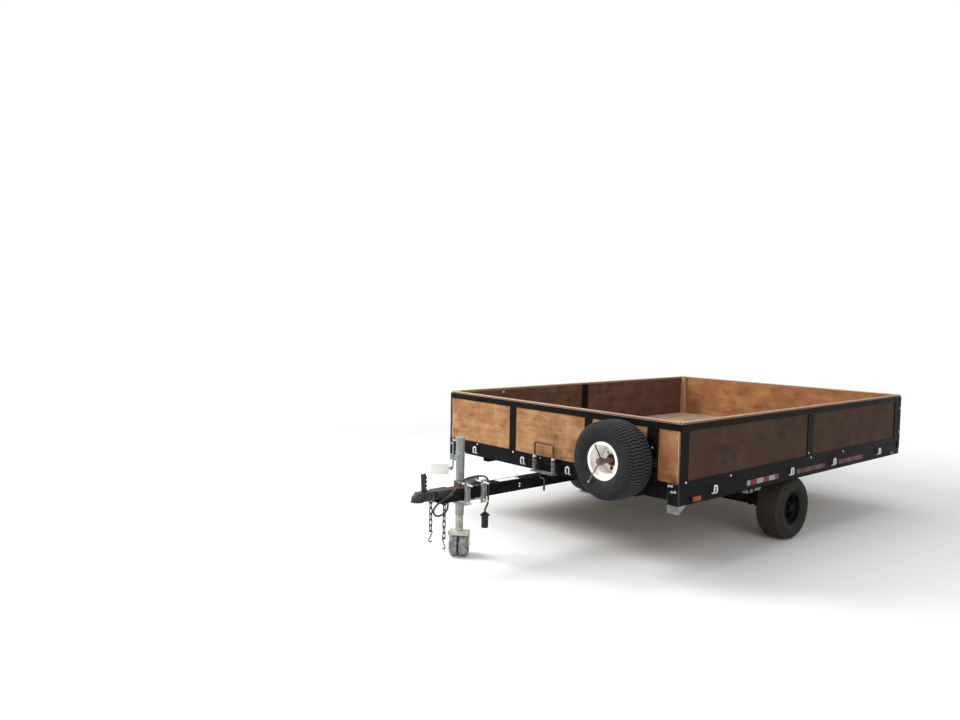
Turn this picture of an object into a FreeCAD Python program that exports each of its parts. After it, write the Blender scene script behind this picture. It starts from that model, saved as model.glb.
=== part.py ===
"""Single-axle tilt-bed utility trailer, 7 by 10 ft, with plywood stake sides.

Millimetres.  +X points forwards to the coupler, +Y to the left, +Z up, ground at Z = 0.
Inside this script X = 0 is the outer face of the front wall; every piece is moved along X
when it is written, so that X = 0 of the files lies midway between nose and tail lamps.
"""
import FreeCAD, Part
import math
import os
from FreeCAD import Vector

os.makedirs("parts", exist_ok=True)

# Bed: outer size over the steel bars, and heights above the ground
BED_LENGTH = 3050.0
BED_WIDTH = 2134.0
RAIL_LOW = 465.0
RAIL_HIGH = 102.0
RAIL_FLANGE = 43.0
RAIL_WALL = 6.0
END_RAIL_LIFT = 25.0
END_RAIL_FLANGE = 38.0
WALL_TOP = 955.0
BAR_DROP = 15.0
BAR_HIGH = 38.0
BAR_THICK = 6.0
POST_WIDE = 76.0
END_POST_WIDE = 60.0
PLY_THICK = 19.0
DECK_THICK = 19.0
SHEET_LONG = 1219.0
SHEET_GAP = 2.0
CORNER_POST = 38.0
SEAT_GAP = 0.3

# Members under the deck
CROSS_HIGH = 64.0
CROSS_FLANGE = 38.0
CROSS_WALL = 5.0
BEAM_HIGH = 50.0
BEAM_WIDE = 53.0
BEAM_WALL = 4.0
BEAM_IN = 371.0

# Axle, springs and road wheels
AXLE_X = -1470.0
AXLE_TUBE = 50.0
SPINDLE_R = 14.0
SPINDLE_FIT = 0.05
SPINDLE_SHORT = 10.0
AXLE_SHOULDER = 3.0
SEAT_PAD = 6.0
TYRE_R = 224.0
TYRE_WIDE = 190.0
TYRE_IN = 58.0
TYRE_WALL = 12.0
TYRE_CROWN = 0.05
TYRE_SHOULDER = 0.2
TYRE_TUCK = 0.05
RIM_R = 101.6
RIM_LIP = 15.0
RIM_WIDE = 152.0
RIM_SHEET = 4.0
DISC_OUTSET = 10.0
DISC_FLAT_R = 62.0
DISC_DISH = 14.0
LUG_HOLE_R = 7.5
LUG_CIRCLE_R = 50.0
LUG_COUNT = 5
RIM_WELL = 14.0
RIM_SEAT = 24.0
HUB_R = 38.0
HUB_LONG = 96.0
HUB_BACK = 58.0
HUB_CAP_R = 26.0
HUB_CAP_LONG = 22.0
SPRING_LONG = 620.0
SPRING_WIDE = 40.0
LEAF_THICK = 7.0
LEAF_COUNT = 3
LEAF_STEP = 0.24
EYE_DROP = 90.0
EYE_R = 15.0
EYE_PIN_R = 7.0
HANGER_THICK = 5.5
HANGER_WIDE = 50.0
HANGER_CLEAR = 1.0
HANGER_OVER = 4.0

# Tongue, its pivot and the hold-down latch
TONGUE_WIDE = 76.0
TONGUE_WALL = 5.0
TONGUE_FRONT_X = 935.0
PIVOT_X = -1250.0
PIVOT_PIN_R = 19.0
PIVOT_FIT = 0.05
SLEEVE_R = 30.0
SLEEVE_LONG = 190.0
EAR_THICK = 10.0
EAR_WIDE = 76.0
EAR_CLEAR = 1.0
PIN_OVER = 8.0
LATCH_PLATE_X = (8.0, 62.0)
LATCH_PLATE_WIDE = 210.0
LATCH_PLATE_THICK = 8.0
LATCH_BAR_X = 36.0
LATCH_BAR_Y = 88.0
LATCH_BAR_R = 7.0
LATCH_BAR_BEND = 16.0
LATCH_BAR_TOP = 690.0
LATCH_SPRING_R = 13.0
LATCH_SPRING_HIGH = 78.0
LATCH_SPRING_LIFT = 4.0
LATCH_LUG_WIDE = 36.0
LATCH_LUG_THICK = 8.0

# Coupler for a 2 in ball
BALL_X = 1084.0
SOCKET_R = 26.0
SOCKET_DEEP = 18.0
HEAD_R = 35.0
HEAD_LIP = 4.0
HEAD_LIP_HIGH = 6.0
BALL_LIFT = 8.0
NECK_WIDE = 58.0
SADDLE_OVER = 28.0
SADDLE_LONG = 115.0
SADDLE_WALL = 5.0
SADDLE_SKIRT = 40.0
LATCH_LEVER_HIGH = 108.0
LATCH_LEVER_WIDE = 44.0
LATCH_LEVER_THICK = 8.0
LATCH_LEVER_OVER = 8.0
LATCH_TEETH = 4
LATCH_TOOTH_DEEP = 10.0

# Swing-up jack on the right of the tongue, with a swivelling pair of wheels
JACK_X = 640.0
JACK_Y = -150.0
JACK_TUBE_R = 28.0
JACK_TUBE_WALL = 3.0
JACK_TUBE_LOW = 268.0
JACK_TUBE_TOP = 752.0
JACK_CAP_HIGH = 14.0
JACK_CAP_OVER = 2.0
JACK_LEG_WALL = 3.0
JACK_LEG_FIT = 0.3
JACK_LEG_TOP = 560.0
LEG_PLUG_HIGH = 40.0
JACK_PLATE_THICK = 8.0
JACK_PLATE_LONG = 200.0
JACK_PLATE_MID_X = 675.0
JACK_STUB_R = 18.0
JACK_STUB_FIT = 0.05
JACK_STUB_INTO = 38.0
JACK_BOSS_R = 26.0
BOSS_CLEAR = 1.0
STRAP_X = (740.0, 607.0)
STRAP_WIDE = 36.0
STRAP_THICK = 5.0
STRAP_OVER = 34.0
STRAP_RIB = 10.0
STRAP_BOLT_R = 6.0
STRAP_BOLT_OUT = 48.0
BOLT_HEAD_R = 10.0
BOLT_HEAD_HIGH = 7.0
BOLT_NUT_HIGH = 9.0
CRANK_Z = 738.0
CRANK_R = 5.0
CRANK_OUT = 46.0
CRANK_DROP = 185.0
CRANK_BEND = 12.0
CRANK_GRIP_R = 12.0
CRANK_GRIP_LONG = 30.0
CASTER_TURN = 40.0
CASTER_R = 74.0
CASTER_WHEEL_WIDE = 50.0
CASTER_GAP = 14.0
CASTER_TRAIL = 12.0
CASTER_PLATE_THICK = 6.0
CASTER_LIP_HIGH = 24.0
CASTER_CHEEK_THICK = 5.0
CASTER_CHEEK_WIDE = 40.0
CASTER_CLEAR = 12.0
CASTER_SIDE_GAP = 3.0
CASTER_PLATE_REACH = 44.0
CASTER_AXLE_R = 6.0
CASTER_TIE_R = 16.0
CASTER_RECESS = 8.0
CASTER_RECESS_R = 40.0
CASTER_ROUND = 7.0
CASTER_FIT = 0.05
CASTER_STEM_R = 12.0
CASTER_STEM_FIT = 0.05

# Spare wheel on the left of the front wall
SPARE_IN = 396.0
SPARE_Z = 693.0
SPARE_R = 243.0
SPARE_WIDE = 218.0
SPARE_POST_IN = 195.0
SPARE_STUB_R = 16.0
SPARE_STUB_OUT = 20.0
SPARE_RIM_WIDE = 180.0
SPARE_DISC = 4.0
SPARE_HOLE_R = 30.0
SPARE_CLEAR = 1.5
SPARE_SEAT_R = 40.0
SPARE_SEAT_THICK = 8.0
CARRIER_HIGH = 50.0
CARRIER_THICK = 8.0
HOLD_ROD_R = 4.0
HOLD_ROD_UP = -32.0
HOLD_ROD_DOWN = -148.0
HOLD_ROD_REACH = 162.0
HOLD_COLLAR_R = 21.0
HOLD_COLLAR_OVER = 4.0

# Tie-down staples, lamps and corner hardware
STAPLE_ROD_R = 4.8
STAPLE_WIDE = 38.0
STAPLE_HIGH = 52.0
STAPLE_OUT = 16.0
STAPLE_BEND = 12.0
STAPLE_LIFT = 36.0
FRONT_STAPLE_LIFT = 22.0
STAPLE_FROM_FRONT = (349.0, 1271.0)
STAPLE_FROM_REAR = (1162.0, 398.0)
STAPLE_CORNER_IN = 311.0
STAPLE_MID_Y = (-230.0, 200.0)
MARKER_IN = 161.0
MARKER_LONG = 104.0
MARKER_HIGH = 46.0
MARKER_DEEP = 20.0
LAMP_LIFT = 6.0
REAR_MARKER_IN = 147.0
REAR_MARKER_LONG = 62.0
REAR_MARKER_HIGH = 26.0
REAR_MARKER_DEEP = 12.0
TAIL_LAMP_IN = 161.0
TAIL_LAMP_WIDE = 150.0
TAIL_LAMP_HIGH = 82.0
TAIL_LAMP_DEEP = 32.0
LAMP_ROUND = 0.35
BRACKET_WIDE = 76.0
BRACKET_THICK = 6.0
SHOE_DROP = 48.0
SHOE_THICK = 5.0

# Safety chains: wire, pitch and how far each hangs
LINK_WIRE_R = 3.5
LINK_PITCH = 35.0
LINK_WIDE = 24.0
CHAIN_EYE_R = 15.0
CHAIN_EYE_DROP = 21.0
CHAIN_EYE_BEND = 13.5
CHAIN_EYE_ROD_R = 4.0
CHAIN_FRONT_X = 982.0
CHAIN_FRONT_LINKS = 5
CHAIN_REAR_X = 880.0
CHAIN_REAR_LINKS = 6
HOOK_ROD_R = 3.6
HOOK_BEND_R = 12.0
HOOK_CENTRES = 46.0
HOOK_MOUTH = -20.0

# Wiring: where the cable leaves the tongue, and its plug
CABLE_EXIT_X = 872.0
CABLE_EXIT_Y = 25.0
CABLE_R = 6.0
PLUG_X = 600.0
PLUG_Y = 54.0
PLUG_TOP = 306.0
PLUG_LONG = 84.0
PLUG_R = 22.0
PLUG_COLLAR_R = 30.0
PLUG_COLLAR_HIGH = 9.0
PLUG_CONE_HIGH = 14.0

# Worked-out planes
rail_top = RAIL_LOW + RAIL_HIGH
deck_top = rail_top + DECK_THICK
end_rail_low = RAIL_LOW + END_RAIL_LIFT
end_rail_top = end_rail_low + RAIL_HIGH
half_wide = BED_WIDTH / 2
rail_y = half_wide - BAR_THICK
ply_in_y = rail_y - PLY_THICK
rear_x = -BED_LENGTH
ply_front_x = -BAR_THICK
ply_rear_x = rear_x + BAR_THICK
bar_top = WALL_TOP - BAR_DROP
bar_low = bar_top - BAR_HIGH
mid_x = rear_x / 2
cross_low = rail_top - CROSS_HIGH
beam_low = cross_low - BEAM_HIGH
tongue_top = end_rail_low - SEAT_GAP
tongue_low = tongue_top - TONGUE_WIDE
tongue_mid = (tongue_top + tongue_low) / 2
tongue_side = TONGUE_WIDE / 2
tyre_mid_y = rail_y - TYRE_IN - TYRE_WIDE / 2
beam_y = rail_y - BEAM_IN
nose_x = BALL_X + HEAD_R + HEAD_LIP
tail_x = rear_x - TAIL_LAMP_DEEP
shift = Vector(-(nose_x + tail_x) / 2, 0, 0)


def box(x, y, z):
    """Block between two values on each axis, given in any order."""
    low = Vector(min(x), min(y), min(z))
    return Part.makeBox(max(x) - low.x, max(y) - low.y, max(z) - low.z, low)


def rod(start, end, radius):
    """Round bar from one point to another."""
    start, end = Vector(*start), Vector(*end)
    along = end - start
    return Part.makeCylinder(radius, along.Length, start, along)


def fuse(shapes):
    """One solid out of pieces that touch."""
    shapes = list(shapes)
    return shapes[0].multiFuse(shapes[1:]).removeSplitter()


def outline(points):
    """Flat face from a closed list of corners."""
    corners = [Vector(*p) for p in points]
    return Part.Face(Part.makePolygon(corners + corners[:1]))


def spin(points, centre, axis):
    """Solid of revolution of a closed outline about an axis."""
    return outline(points).revolve(Vector(*centre), Vector(*axis), 360)


def bend_path(points, bend):
    """Straight runs joined by arcs, whose radius is a length or is worked out for each corner."""
    points = [Vector(*p) for p in points]
    edges, start = [], points[0]
    for before, corner, after in zip(points, points[1:], points[2:]):
        into, out = corner - before, after - corner
        turn = into.getAngle(out)
        radius = bend(into.Length, out.Length, turn) if callable(bend) else bend
        back = radius * math.tan(turn / 2)
        into.normalize()
        out.normalize()
        first, last = corner - into * back, corner + out * back
        inward = (out - into).normalize()
        middle = corner + inward * (radius / math.cos(turn / 2) - radius)
        edges.append(Part.LineSegment(start, first).toShape())
        edges.append(Part.Arc(first, middle, last).toShape())
        start = last
    edges.append(Part.LineSegment(start, points[-1]).toShape())
    return Part.Wire(edges)


def bent_rod(points, radius, bend):
    """Round bar along a bent path."""
    path = bend_path(points, bend)
    start, towards = Vector(*points[0]), Vector(*points[1]) - Vector(*points[0])
    ring = Part.Wire(Part.makeCircle(radius, start, towards))
    return path.makePipeShell([ring], True, False)


def mirrored(shape):
    """The same piece on the other side of the trailer."""
    return shape.mirror(Vector(0, 0, 0), Vector(0, 1, 0))


def both_sides(shape):
    return [shape, mirrored(shape)]


def save(name, shapes):
    """Writes one node, moved to the trailer's own origin."""
    shapes = shapes if isinstance(shapes, list) else [shapes]
    solids = []
    for shape in shapes:
        moved = shape.copy()
        moved.translate(shift)
        solids += moved.Solids
    Part.makeCompound(solids).exportStep(f"parts/{name}.step")


# Side rails: channels with their webs outwards, closed at each end by a bracket plate
def side_rail():
    """Channel open towards the middle of the bed."""
    ends = (ply_front_x, ply_rear_x)
    web = box(ends, (rail_y - RAIL_WALL, rail_y), (RAIL_LOW, rail_top))
    low = box(ends, (rail_y - RAIL_FLANGE, rail_y), (RAIL_LOW, RAIL_LOW + RAIL_WALL))
    high = box(ends, (rail_y - RAIL_FLANGE, rail_y), (rail_top - RAIL_WALL, rail_top))
    return fuse([web, low, high])


save("side_rails", both_sides(side_rail()))


# Front and rear rails: angles whose webs stand up over the deck's edge
def end_rail(outer, inward):
    """Angle across the bed; inward is -1 at the front and 1 at the rear."""
    inner_y = rail_y - RAIL_WALL - SEAT_GAP
    web = box((outer, outer + inward * RAIL_WALL), (-inner_y, inner_y), (end_rail_low, end_rail_top))
    leg = box((outer, outer + inward * END_RAIL_FLANGE), (-inner_y, inner_y),
              (end_rail_low, end_rail_low + RAIL_WALL))
    return fuse([web, leg])


save("end_rails", [end_rail(0, -1), end_rail(rear_x, 1)])


# Cross members: channels between the side rails, one of them over the tongue's pivot
def cross_member(x):
    """Channel open to the rear, its top level with the side rails."""
    end = rail_y - RAIL_FLANGE
    web = box((x, x - CROSS_WALL), (-end, end), (cross_low, rail_top))
    low = box((x, x - CROSS_FLANGE), (-end, end), (cross_low, cross_low + CROSS_WALL))
    high = box((x, x - CROSS_FLANGE), (-end, end), (rail_top - CROSS_WALL, rail_top))
    return fuse([web, low, high])


pivot_cross_x = PIVOT_X + CROSS_FLANGE / 2
front_bay = -pivot_cross_x / 3
rear_bay = (pivot_cross_x - rear_x) / 4
cross_x = [-front_bay, -2 * front_bay] + [pivot_cross_x - i * rear_bay for i in range(4)]
save("cross_members", [cross_member(x) for x in cross_x])

# Long beams under the cross members, which carry the springs
beam_ends = (ply_front_x - END_RAIL_FLANGE, ply_rear_x + END_RAIL_FLANGE)
beam = box(beam_ends, (beam_y - BEAM_WIDE / 2, beam_y + BEAM_WIDE / 2), (beam_low, cross_low))
beam_hole = box(beam_ends, (beam_y - BEAM_WIDE / 2 + BEAM_WALL, beam_y + BEAM_WIDE / 2 - BEAM_WALL),
                (beam_low + BEAM_WALL, cross_low - BEAM_WALL))
save("under_beams", both_sides(beam.cut(beam_hole)))

# Deck: plywood sheets laid across the bed, notched round the inner posts
mid_post = (mid_x - POST_WIDE / 2, mid_x + POST_WIDE / 2)
notch = (mid_post[0] - SEAT_GAP, mid_post[1] + SEAT_GAP)
deck_y = ply_in_y - SEAT_GAP
notch_y = ply_in_y - BAR_THICK - SEAT_GAP
deck, sheet_x = [], ply_front_x - SEAT_GAP
while sheet_x > ply_rear_x + SEAT_GAP + SHEET_GAP:
    sheet_end = max(sheet_x - SHEET_LONG, ply_rear_x + SEAT_GAP)
    sheet = box((sheet_x, sheet_end), (-deck_y, deck_y), (rail_top, deck_top))
    for side in (1, -1):
        sheet = sheet.cut(box(notch, (side * notch_y, side * rail_y), (rail_top, deck_top)))
    deck.append(sheet)
    sheet_x = sheet_end - SHEET_GAP
save("deck", deck)

# Plywood walls: the sides in two sheets that meet behind the middle post
side_low = rail_top + BAR_THICK
side_sheets = [box((x0, x1), (ply_in_y, rail_y), (side_low, WALL_TOP))
               for x0, x1 in ((ply_front_x, mid_x + SHEET_GAP / 2), (mid_x - SHEET_GAP / 2, ply_rear_x))]
save("plywood_left", side_sheets)
save("plywood_right", [mirrored(s) for s in side_sheets])
end_sheet_y = (-ply_in_y + SEAT_GAP, ply_in_y - SEAT_GAP)
save("plywood_front", box((ply_front_x, ply_front_x - PLY_THICK), end_sheet_y, (deck_top, WALL_TOP)))
save("plywood_rear", box((ply_rear_x, ply_rear_x + PLY_THICK), end_sheet_y, (deck_top, WALL_TOP)))


# Steel frames of the side walls: top bar, bottom angle, posts at the ends and the middle
def side_frame():
    out = (rail_y, half_wide)
    rear_post = rear_x + BAR_HIGH
    bars = [
        box((0, rear_post), out, (bar_low, bar_top)),
        box((0, rear_post), out, (rail_top, rail_top + BAR_HIGH)),
        box((ply_front_x, rear_post), (ply_in_y, half_wide), (rail_top, side_low)),
        box((0, -POST_WIDE), out, (rail_top, bar_top)),
        box(mid_post, out, (rail_top, bar_top)),
        box((rear_post, rear_post + POST_WIDE), out, (rail_top, bar_top)),
    ]
    return fuse(bars)


save("wall_frame_left", side_frame())
save("wall_frame_right", mirrored(side_frame()))

# Inner posts: flat bars behind the middle of each side wall, bolted through the plywood
inner_post = box(mid_post, (ply_in_y - BAR_THICK, ply_in_y), (rail_top, bar_top))
save("inner_posts", both_sides(inner_post))

# Steel frame of the front wall: top bar and posts at the thirds; the spare's post reaches down
# over the rail
third = BED_WIDTH / 6
front_bars = [box((ply_front_x, 0), (-rail_y, rail_y), (bar_low, bar_top))]
for y in (-third, third):
    front_bars.append(box((ply_front_x, 0), (y - END_POST_WIDE / 2, y + END_POST_WIDE / 2),
                          (end_rail_top, bar_top)))
spare_post = rail_y - SPARE_POST_IN
spare_post_y = (spare_post - POST_WIDE / 2, spare_post + POST_WIDE / 2)
front_bars.append(box((ply_front_x, 0), spare_post_y, (end_rail_top, bar_top)))
front_bars.append(box((0, BAR_THICK), spare_post_y, (end_rail_low, bar_top)))
save("wall_frame_front", fuse(front_bars))

# Steel frame of the rear wall: top bar, posts at the thirds and angles round both corners
rear_bars = [box((ply_rear_x, rear_x), (-rail_y, rail_y), (bar_low, bar_top))]
for y in (-third, third):
    rear_bars.append(box((ply_rear_x, rear_x), (y - END_POST_WIDE / 2, y + END_POST_WIDE / 2),
                         (end_rail_top, bar_top)))
corner_low = RAIL_LOW + RAIL_HIGH / 2
for side in (1, -1):
    rear_bars.append(box((rear_x, ply_rear_x), (side * (rail_y - BAR_HIGH), side * half_wide),
                         (end_rail_top, bar_top)))
    rear_bars.append(box((rear_x, rear_x + BAR_HIGH - SEAT_GAP), (side * rail_y, side * half_wide),
                         (corner_low, bar_top)))
save("wall_frame_rear", fuse(rear_bars))

# Wooden posts in the inner corners, screwed to both walls
post_x = (ply_front_x - PLY_THICK, ply_rear_x + PLY_THICK)
corner_posts = []
for x, inward in ((post_x[0], -1), (post_x[1], 1)):
    post = box((x, x + inward * CORNER_POST), (ply_in_y - SEAT_GAP, ply_in_y - SEAT_GAP - CORNER_POST),
               (deck_top, WALL_TOP))
    corner_posts += both_sides(post)
save("corner_posts", corner_posts)

# Corner brackets: plates over the rails' ends
bracket_low = RAIL_LOW
front_bracket = box((ply_front_x, BRACKET_THICK), (rail_y - RAIL_WALL, rail_y), (bracket_low, rail_top))
front_bracket = fuse([
    box((0, BRACKET_THICK), (rail_y - BRACKET_WIDE, rail_y), (bracket_low, end_rail_top)), front_bracket])
rear_bracket = box((rear_x, rear_x - BRACKET_THICK), (rail_y - BRACKET_WIDE, rail_y),
                   (bracket_low, end_rail_top))
rear_bracket = fuse([rear_bracket, box((rear_x, ply_rear_x), (rail_y - RAIL_WALL, rail_y - SEAT_GAP),
                                       (bracket_low, corner_low))])
save("corner_brackets", both_sides(front_bracket) + both_sides(rear_bracket))

# Corner shoes: bent plates under the front corners, with a wing that tapers to the rear
shoe_top = RAIL_LOW
shoe_front = box((0, BRACKET_THICK), (rail_y - BRACKET_WIDE, rail_y), (shoe_top, shoe_top - SHOE_DROP))
wing = outline([(x, rail_y - SHOE_THICK, z) for x, z in (
    (BRACKET_THICK, shoe_top), (BRACKET_THICK, shoe_top - SHOE_DROP), (0, shoe_top - SHOE_DROP),
    (-BRACKET_WIDE, shoe_top))])
save("corner_shoes", both_sides(fuse([shoe_front, wing.extrude(Vector(0, SHOE_THICK, 0))])))


# Tie-down staples: round bar bent up off the rail, its feet welded to the web
def staple(foot, along, outward):
    """Inverted U whose legs stand off the web; along and outward are unit directions."""
    foot, along, outward = Vector(*foot), Vector(*along), Vector(*outward)
    half = STAPLE_WIDE / 2 - STAPLE_ROD_R
    out = outward * STAPLE_OUT
    rise = Vector(0, 0, STAPLE_HIGH - STAPLE_ROD_R)
    left, right = foot - along * half, foot + along * half
    path = [left, left + out, left + out + rise, right + out + rise, right + out, right]
    return bent_rod(path, STAPLE_ROD_R, STAPLE_BEND)


staples = []
for x in [-d for d in STAPLE_FROM_FRONT] + [rear_x + d for d in STAPLE_FROM_REAR]:
    staples += both_sides(staple((x, rail_y, RAIL_LOW + STAPLE_LIFT), (1, 0, 0), (0, 1, 0)))
for y in (STAPLE_CORNER_IN - rail_y, *STAPLE_MID_Y):
    staples.append(staple((0, y, end_rail_low + FRONT_STAPLE_LIFT), (0, 1, 0), (1, 0, 0)))
save("tie_down_staples", staples)


# Lamps: amber markers at the front of the sides, red ones and tail lamps at the rear
def side_lamp(middle, long, high, deep):
    """Lens on a side rail's web, its outer edges rounded."""
    lens = box((middle - long / 2, middle + long / 2), (rail_y, rail_y + deep),
               (RAIL_LOW + LAMP_LIFT, RAIL_LOW + LAMP_LIFT + high))
    outer = [e for e in lens.Edges if e.BoundBox.YMin > rail_y + deep / 2]
    return lens.makeFillet(deep * LAMP_ROUND, outer)


save("marker_lamps", both_sides(side_lamp(-MARKER_IN, MARKER_LONG, MARKER_HIGH, MARKER_DEEP)))
rear_marker = side_lamp(rear_x + REAR_MARKER_IN, REAR_MARKER_LONG, REAR_MARKER_HIGH, REAR_MARKER_DEEP)
tail_mid = (end_rail_low + end_rail_top) / 2
tail_y = rail_y - TAIL_LAMP_IN
tail_lens = box((rear_x, tail_x), (tail_y - TAIL_LAMP_WIDE / 2, tail_y + TAIL_LAMP_WIDE / 2),
                (tail_mid - TAIL_LAMP_HIGH / 2, tail_mid + TAIL_LAMP_HIGH / 2))
tail_edges = [e for e in tail_lens.Edges if e.BoundBox.XMax < (rear_x + tail_x) / 2]
tail_lens = tail_lens.makeFillet(TAIL_LAMP_DEEP * LAMP_ROUND, tail_edges)
save("rear_lamps", both_sides(rear_marker) + both_sides(tail_lens))

# Axle: square tube with pads for the springs and a spindle at each end
hub_back_y = tyre_mid_y + DISC_OUTSET - HUB_BACK
axle_end = hub_back_y - AXLE_SHOULDER
spindle_tip = hub_back_y + HUB_LONG - SPINDLE_SHORT
half_tube = AXLE_TUBE / 2
tube_x = (AXLE_X - half_tube, AXLE_X + half_tube)
spring_y = (beam_y - SPRING_WIDE / 2, beam_y + SPRING_WIDE / 2)
axle_top = TYRE_R + half_tube
seat_top = axle_top + SEAT_PAD
axle = [
    box(tube_x, (-axle_end, axle_end), (TYRE_R - half_tube, axle_top)),
    rod((AXLE_X, -spindle_tip, TYRE_R), (AXLE_X, spindle_tip, TYRE_R), SPINDLE_R),
]
axle += both_sides(box(tube_x, spring_y, (axle_top, seat_top)))
save("axle", fuse(axle))

# Leaf springs: short leaves under the long one, whose rolled eyes take the hangers' pins
eye_z = beam_low - EYE_DROP
sag = eye_z - (seat_top + SEAT_GAP + LEAF_THICK * (LEAF_COUNT - 0.5))
main_r = ((SPRING_LONG / 2) ** 2 + sag ** 2) / (2 * sag)
main_centre_z = eye_z - sag + main_r
main_half_turn = math.asin(SPRING_LONG / 2 / main_r)


def leaf(number):
    """One leaf, counted from the long one downwards."""
    inner = main_r + LEAF_THICK * (number - 0.5)
    outer = inner + LEAF_THICK
    half_turn = main_half_turn * (1 - number * LEAF_STEP)

    def at(radius, turn):
        return Vector(AXLE_X + radius * math.sin(turn), spring_y[0],
                      main_centre_z - radius * math.cos(turn))

    section = Part.Wire([
        Part.Arc(at(inner, -half_turn), at(inner, 0), at(inner, half_turn)).toShape(),
        Part.LineSegment(at(inner, half_turn), at(outer, half_turn)).toShape(),
        Part.Arc(at(outer, half_turn), at(outer, 0), at(outer, -half_turn)).toShape(),
        Part.LineSegment(at(outer, -half_turn), at(inner, -half_turn)).toShape(),
    ])
    return Part.Face(section).extrude(Vector(0, SPRING_WIDE, 0))


eye_x = (AXLE_X - SPRING_LONG / 2, AXLE_X + SPRING_LONG / 2)
eyes = [rod((x, spring_y[0], eye_z), (x, spring_y[1], eye_z), EYE_R) for x in eye_x]
spring = fuse([leaf(i) for i in range(LEAF_COUNT)] + eyes)
for x in eye_x:
    spring = spring.cut(rod((x, 0, eye_z), (x, half_wide, eye_z), EYE_PIN_R + SEAT_GAP))
save("leaf_springs", both_sides(spring))

# Spring hangers: two ears and a pin at each eye, welded under the long beams
ear_in = SPRING_WIDE / 2 + HANGER_CLEAR
ear_out = ear_in + HANGER_THICK
hangers = []
for x in eye_x:
    pin_y = (beam_y - ear_out - EYE_PIN_R, beam_y + ear_out + EYE_PIN_R)
    hanger = [rod((x, pin_y[0], eye_z), (x, pin_y[1], eye_z), EYE_PIN_R)]
    for side in (1, -1):
        hanger.append(box((x - HANGER_WIDE / 2, x + HANGER_WIDE / 2),
                          (beam_y + side * ear_in, beam_y + side * ear_out),
                          (eye_z - EYE_R - HANGER_OVER, beam_low)))
    hangers += both_sides(fuse(hanger))
save("spring_hangers", hangers)


# Wheels: pressed steel rim with a dished disc, turned about a local X axis
def rim(rim_wide, disc_at, hub_hole):
    """Drop-centre rim; disc_at is the place of the disc's outer face along the axis."""
    half, lip, well = rim_wide / 2, RIM_R + RIM_LIP, RIM_R - RIM_WELL
    seat = half - RIM_SEAT
    slope = seat - RIM_WELL
    outside = [(half, lip), (half - RIM_SHEET, lip), (half - RIM_SHEET, RIM_R), (seat, RIM_R), (slope, well)]
    inside = [(slope, well - RIM_SHEET), (seat, RIM_R - RIM_SHEET), (half, RIM_R - RIM_SHEET)]
    barrel = [(-x, r) for x, r in outside] + [(x, r) for x, r in reversed(outside)]
    barrel += [(x, r) for x, r in reversed(inside)] + [(-x, r) for x, r in inside]
    dished = disc_at - DISC_DISH
    disc = [(disc_at, hub_hole), (disc_at, DISC_FLAT_R), (dished, well - RIM_SHEET),
            (dished - RIM_SHEET, well - RIM_SHEET), (disc_at - RIM_SHEET, DISC_FLAT_R),
            (disc_at - RIM_SHEET, hub_hole)]
    return fuse([spin([(x, r, 0) for x, r in ring], (0, 0, 0), (1, 0, 0)) for ring in (barrel, disc)])


def tyre(radius, wide, rim_wide):
    """Tyre about the X axis: upright beads inside the rim's lips, bulged walls, rounded tread."""
    bead = rim_wide / 2 - RIM_SHEET - SEAT_GAP
    foot = RIM_R + SEAT_GAP
    lip = RIM_R + RIM_LIP + SEAT_GAP
    high = radius - foot
    shoulder = radius - high * TYRE_SHOULDER
    edges = []
    for inset in (0, TYRE_WALL):
        crown = []
        for side in (-1, 1):
            low = Vector(side * (bead - inset), foot, 0)
            rise = Vector(side * (bead - inset), lip, 0)
            bulge = Vector(side * (wide / 2 - inset), (lip + shoulder) / 2, 0)
            turn = Vector(side * (wide / 2 - high * TYRE_TUCK - inset), shoulder - inset * 0.3, 0)
            edge = Vector(side * (wide / 2 - high * TYRE_SHOULDER - inset * 0.8),
                          radius - high * TYRE_CROWN - inset, 0)
            edges.append(Part.LineSegment(low, rise).toShape())
            edges.append(Part.Arc(rise, bulge, turn).toShape())
            edges.append(Part.LineSegment(turn, edge).toShape())
            crown.append(edge)
            if inset:
                edges.append(Part.LineSegment(low, Vector(side * bead, foot, 0)).toShape())
        edges.append(Part.Arc(crown[0], Vector(0, radius - inset, 0), crown[1]).toShape())
    section = Part.Wire(Part.__sortEdges__(edges))
    return Part.Face(section).revolve(Vector(0, 0, 0), Vector(1, 0, 0), 360)


def placed(shape, place, turn=0.0):
    """Moves a piece made about the local X axis to its place, turned about Z."""
    moved = shape.copy()
    moved.rotate(Vector(0, 0, 0), Vector(0, 0, 1), turn)
    moved.translate(Vector(*place))
    return moved


hub_in = DISC_OUTSET - HUB_BACK
hub_out = hub_in + HUB_LONG
wheel = fuse([
    rim(RIM_WIDE, DISC_OUTSET, SPINDLE_R),
    rod((hub_in, 0, 0), (hub_out, 0, 0), HUB_R),
    rod((hub_out, 0, 0), (hub_out + HUB_CAP_LONG, 0, 0), HUB_CAP_R),
])
bore_end = hub_out - SPINDLE_SHORT + AXLE_SHOULDER
wheel = wheel.cut(rod((hub_in, 0, 0), (bore_end, 0, 0), SPINDLE_R + SPINDLE_FIT))
road_tyre = tyre(TYRE_R, TYRE_WIDE, RIM_WIDE)
for side, turn, y in (("left", 90.0, tyre_mid_y), ("right", -90.0, -tyre_mid_y)):
    save(f"wheel_{side}", placed(wheel, (AXLE_X, y, TYRE_R), turn))
    save(f"tyre_{side}", placed(road_tyre, (AXLE_X, y, TYRE_R), turn))

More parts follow.
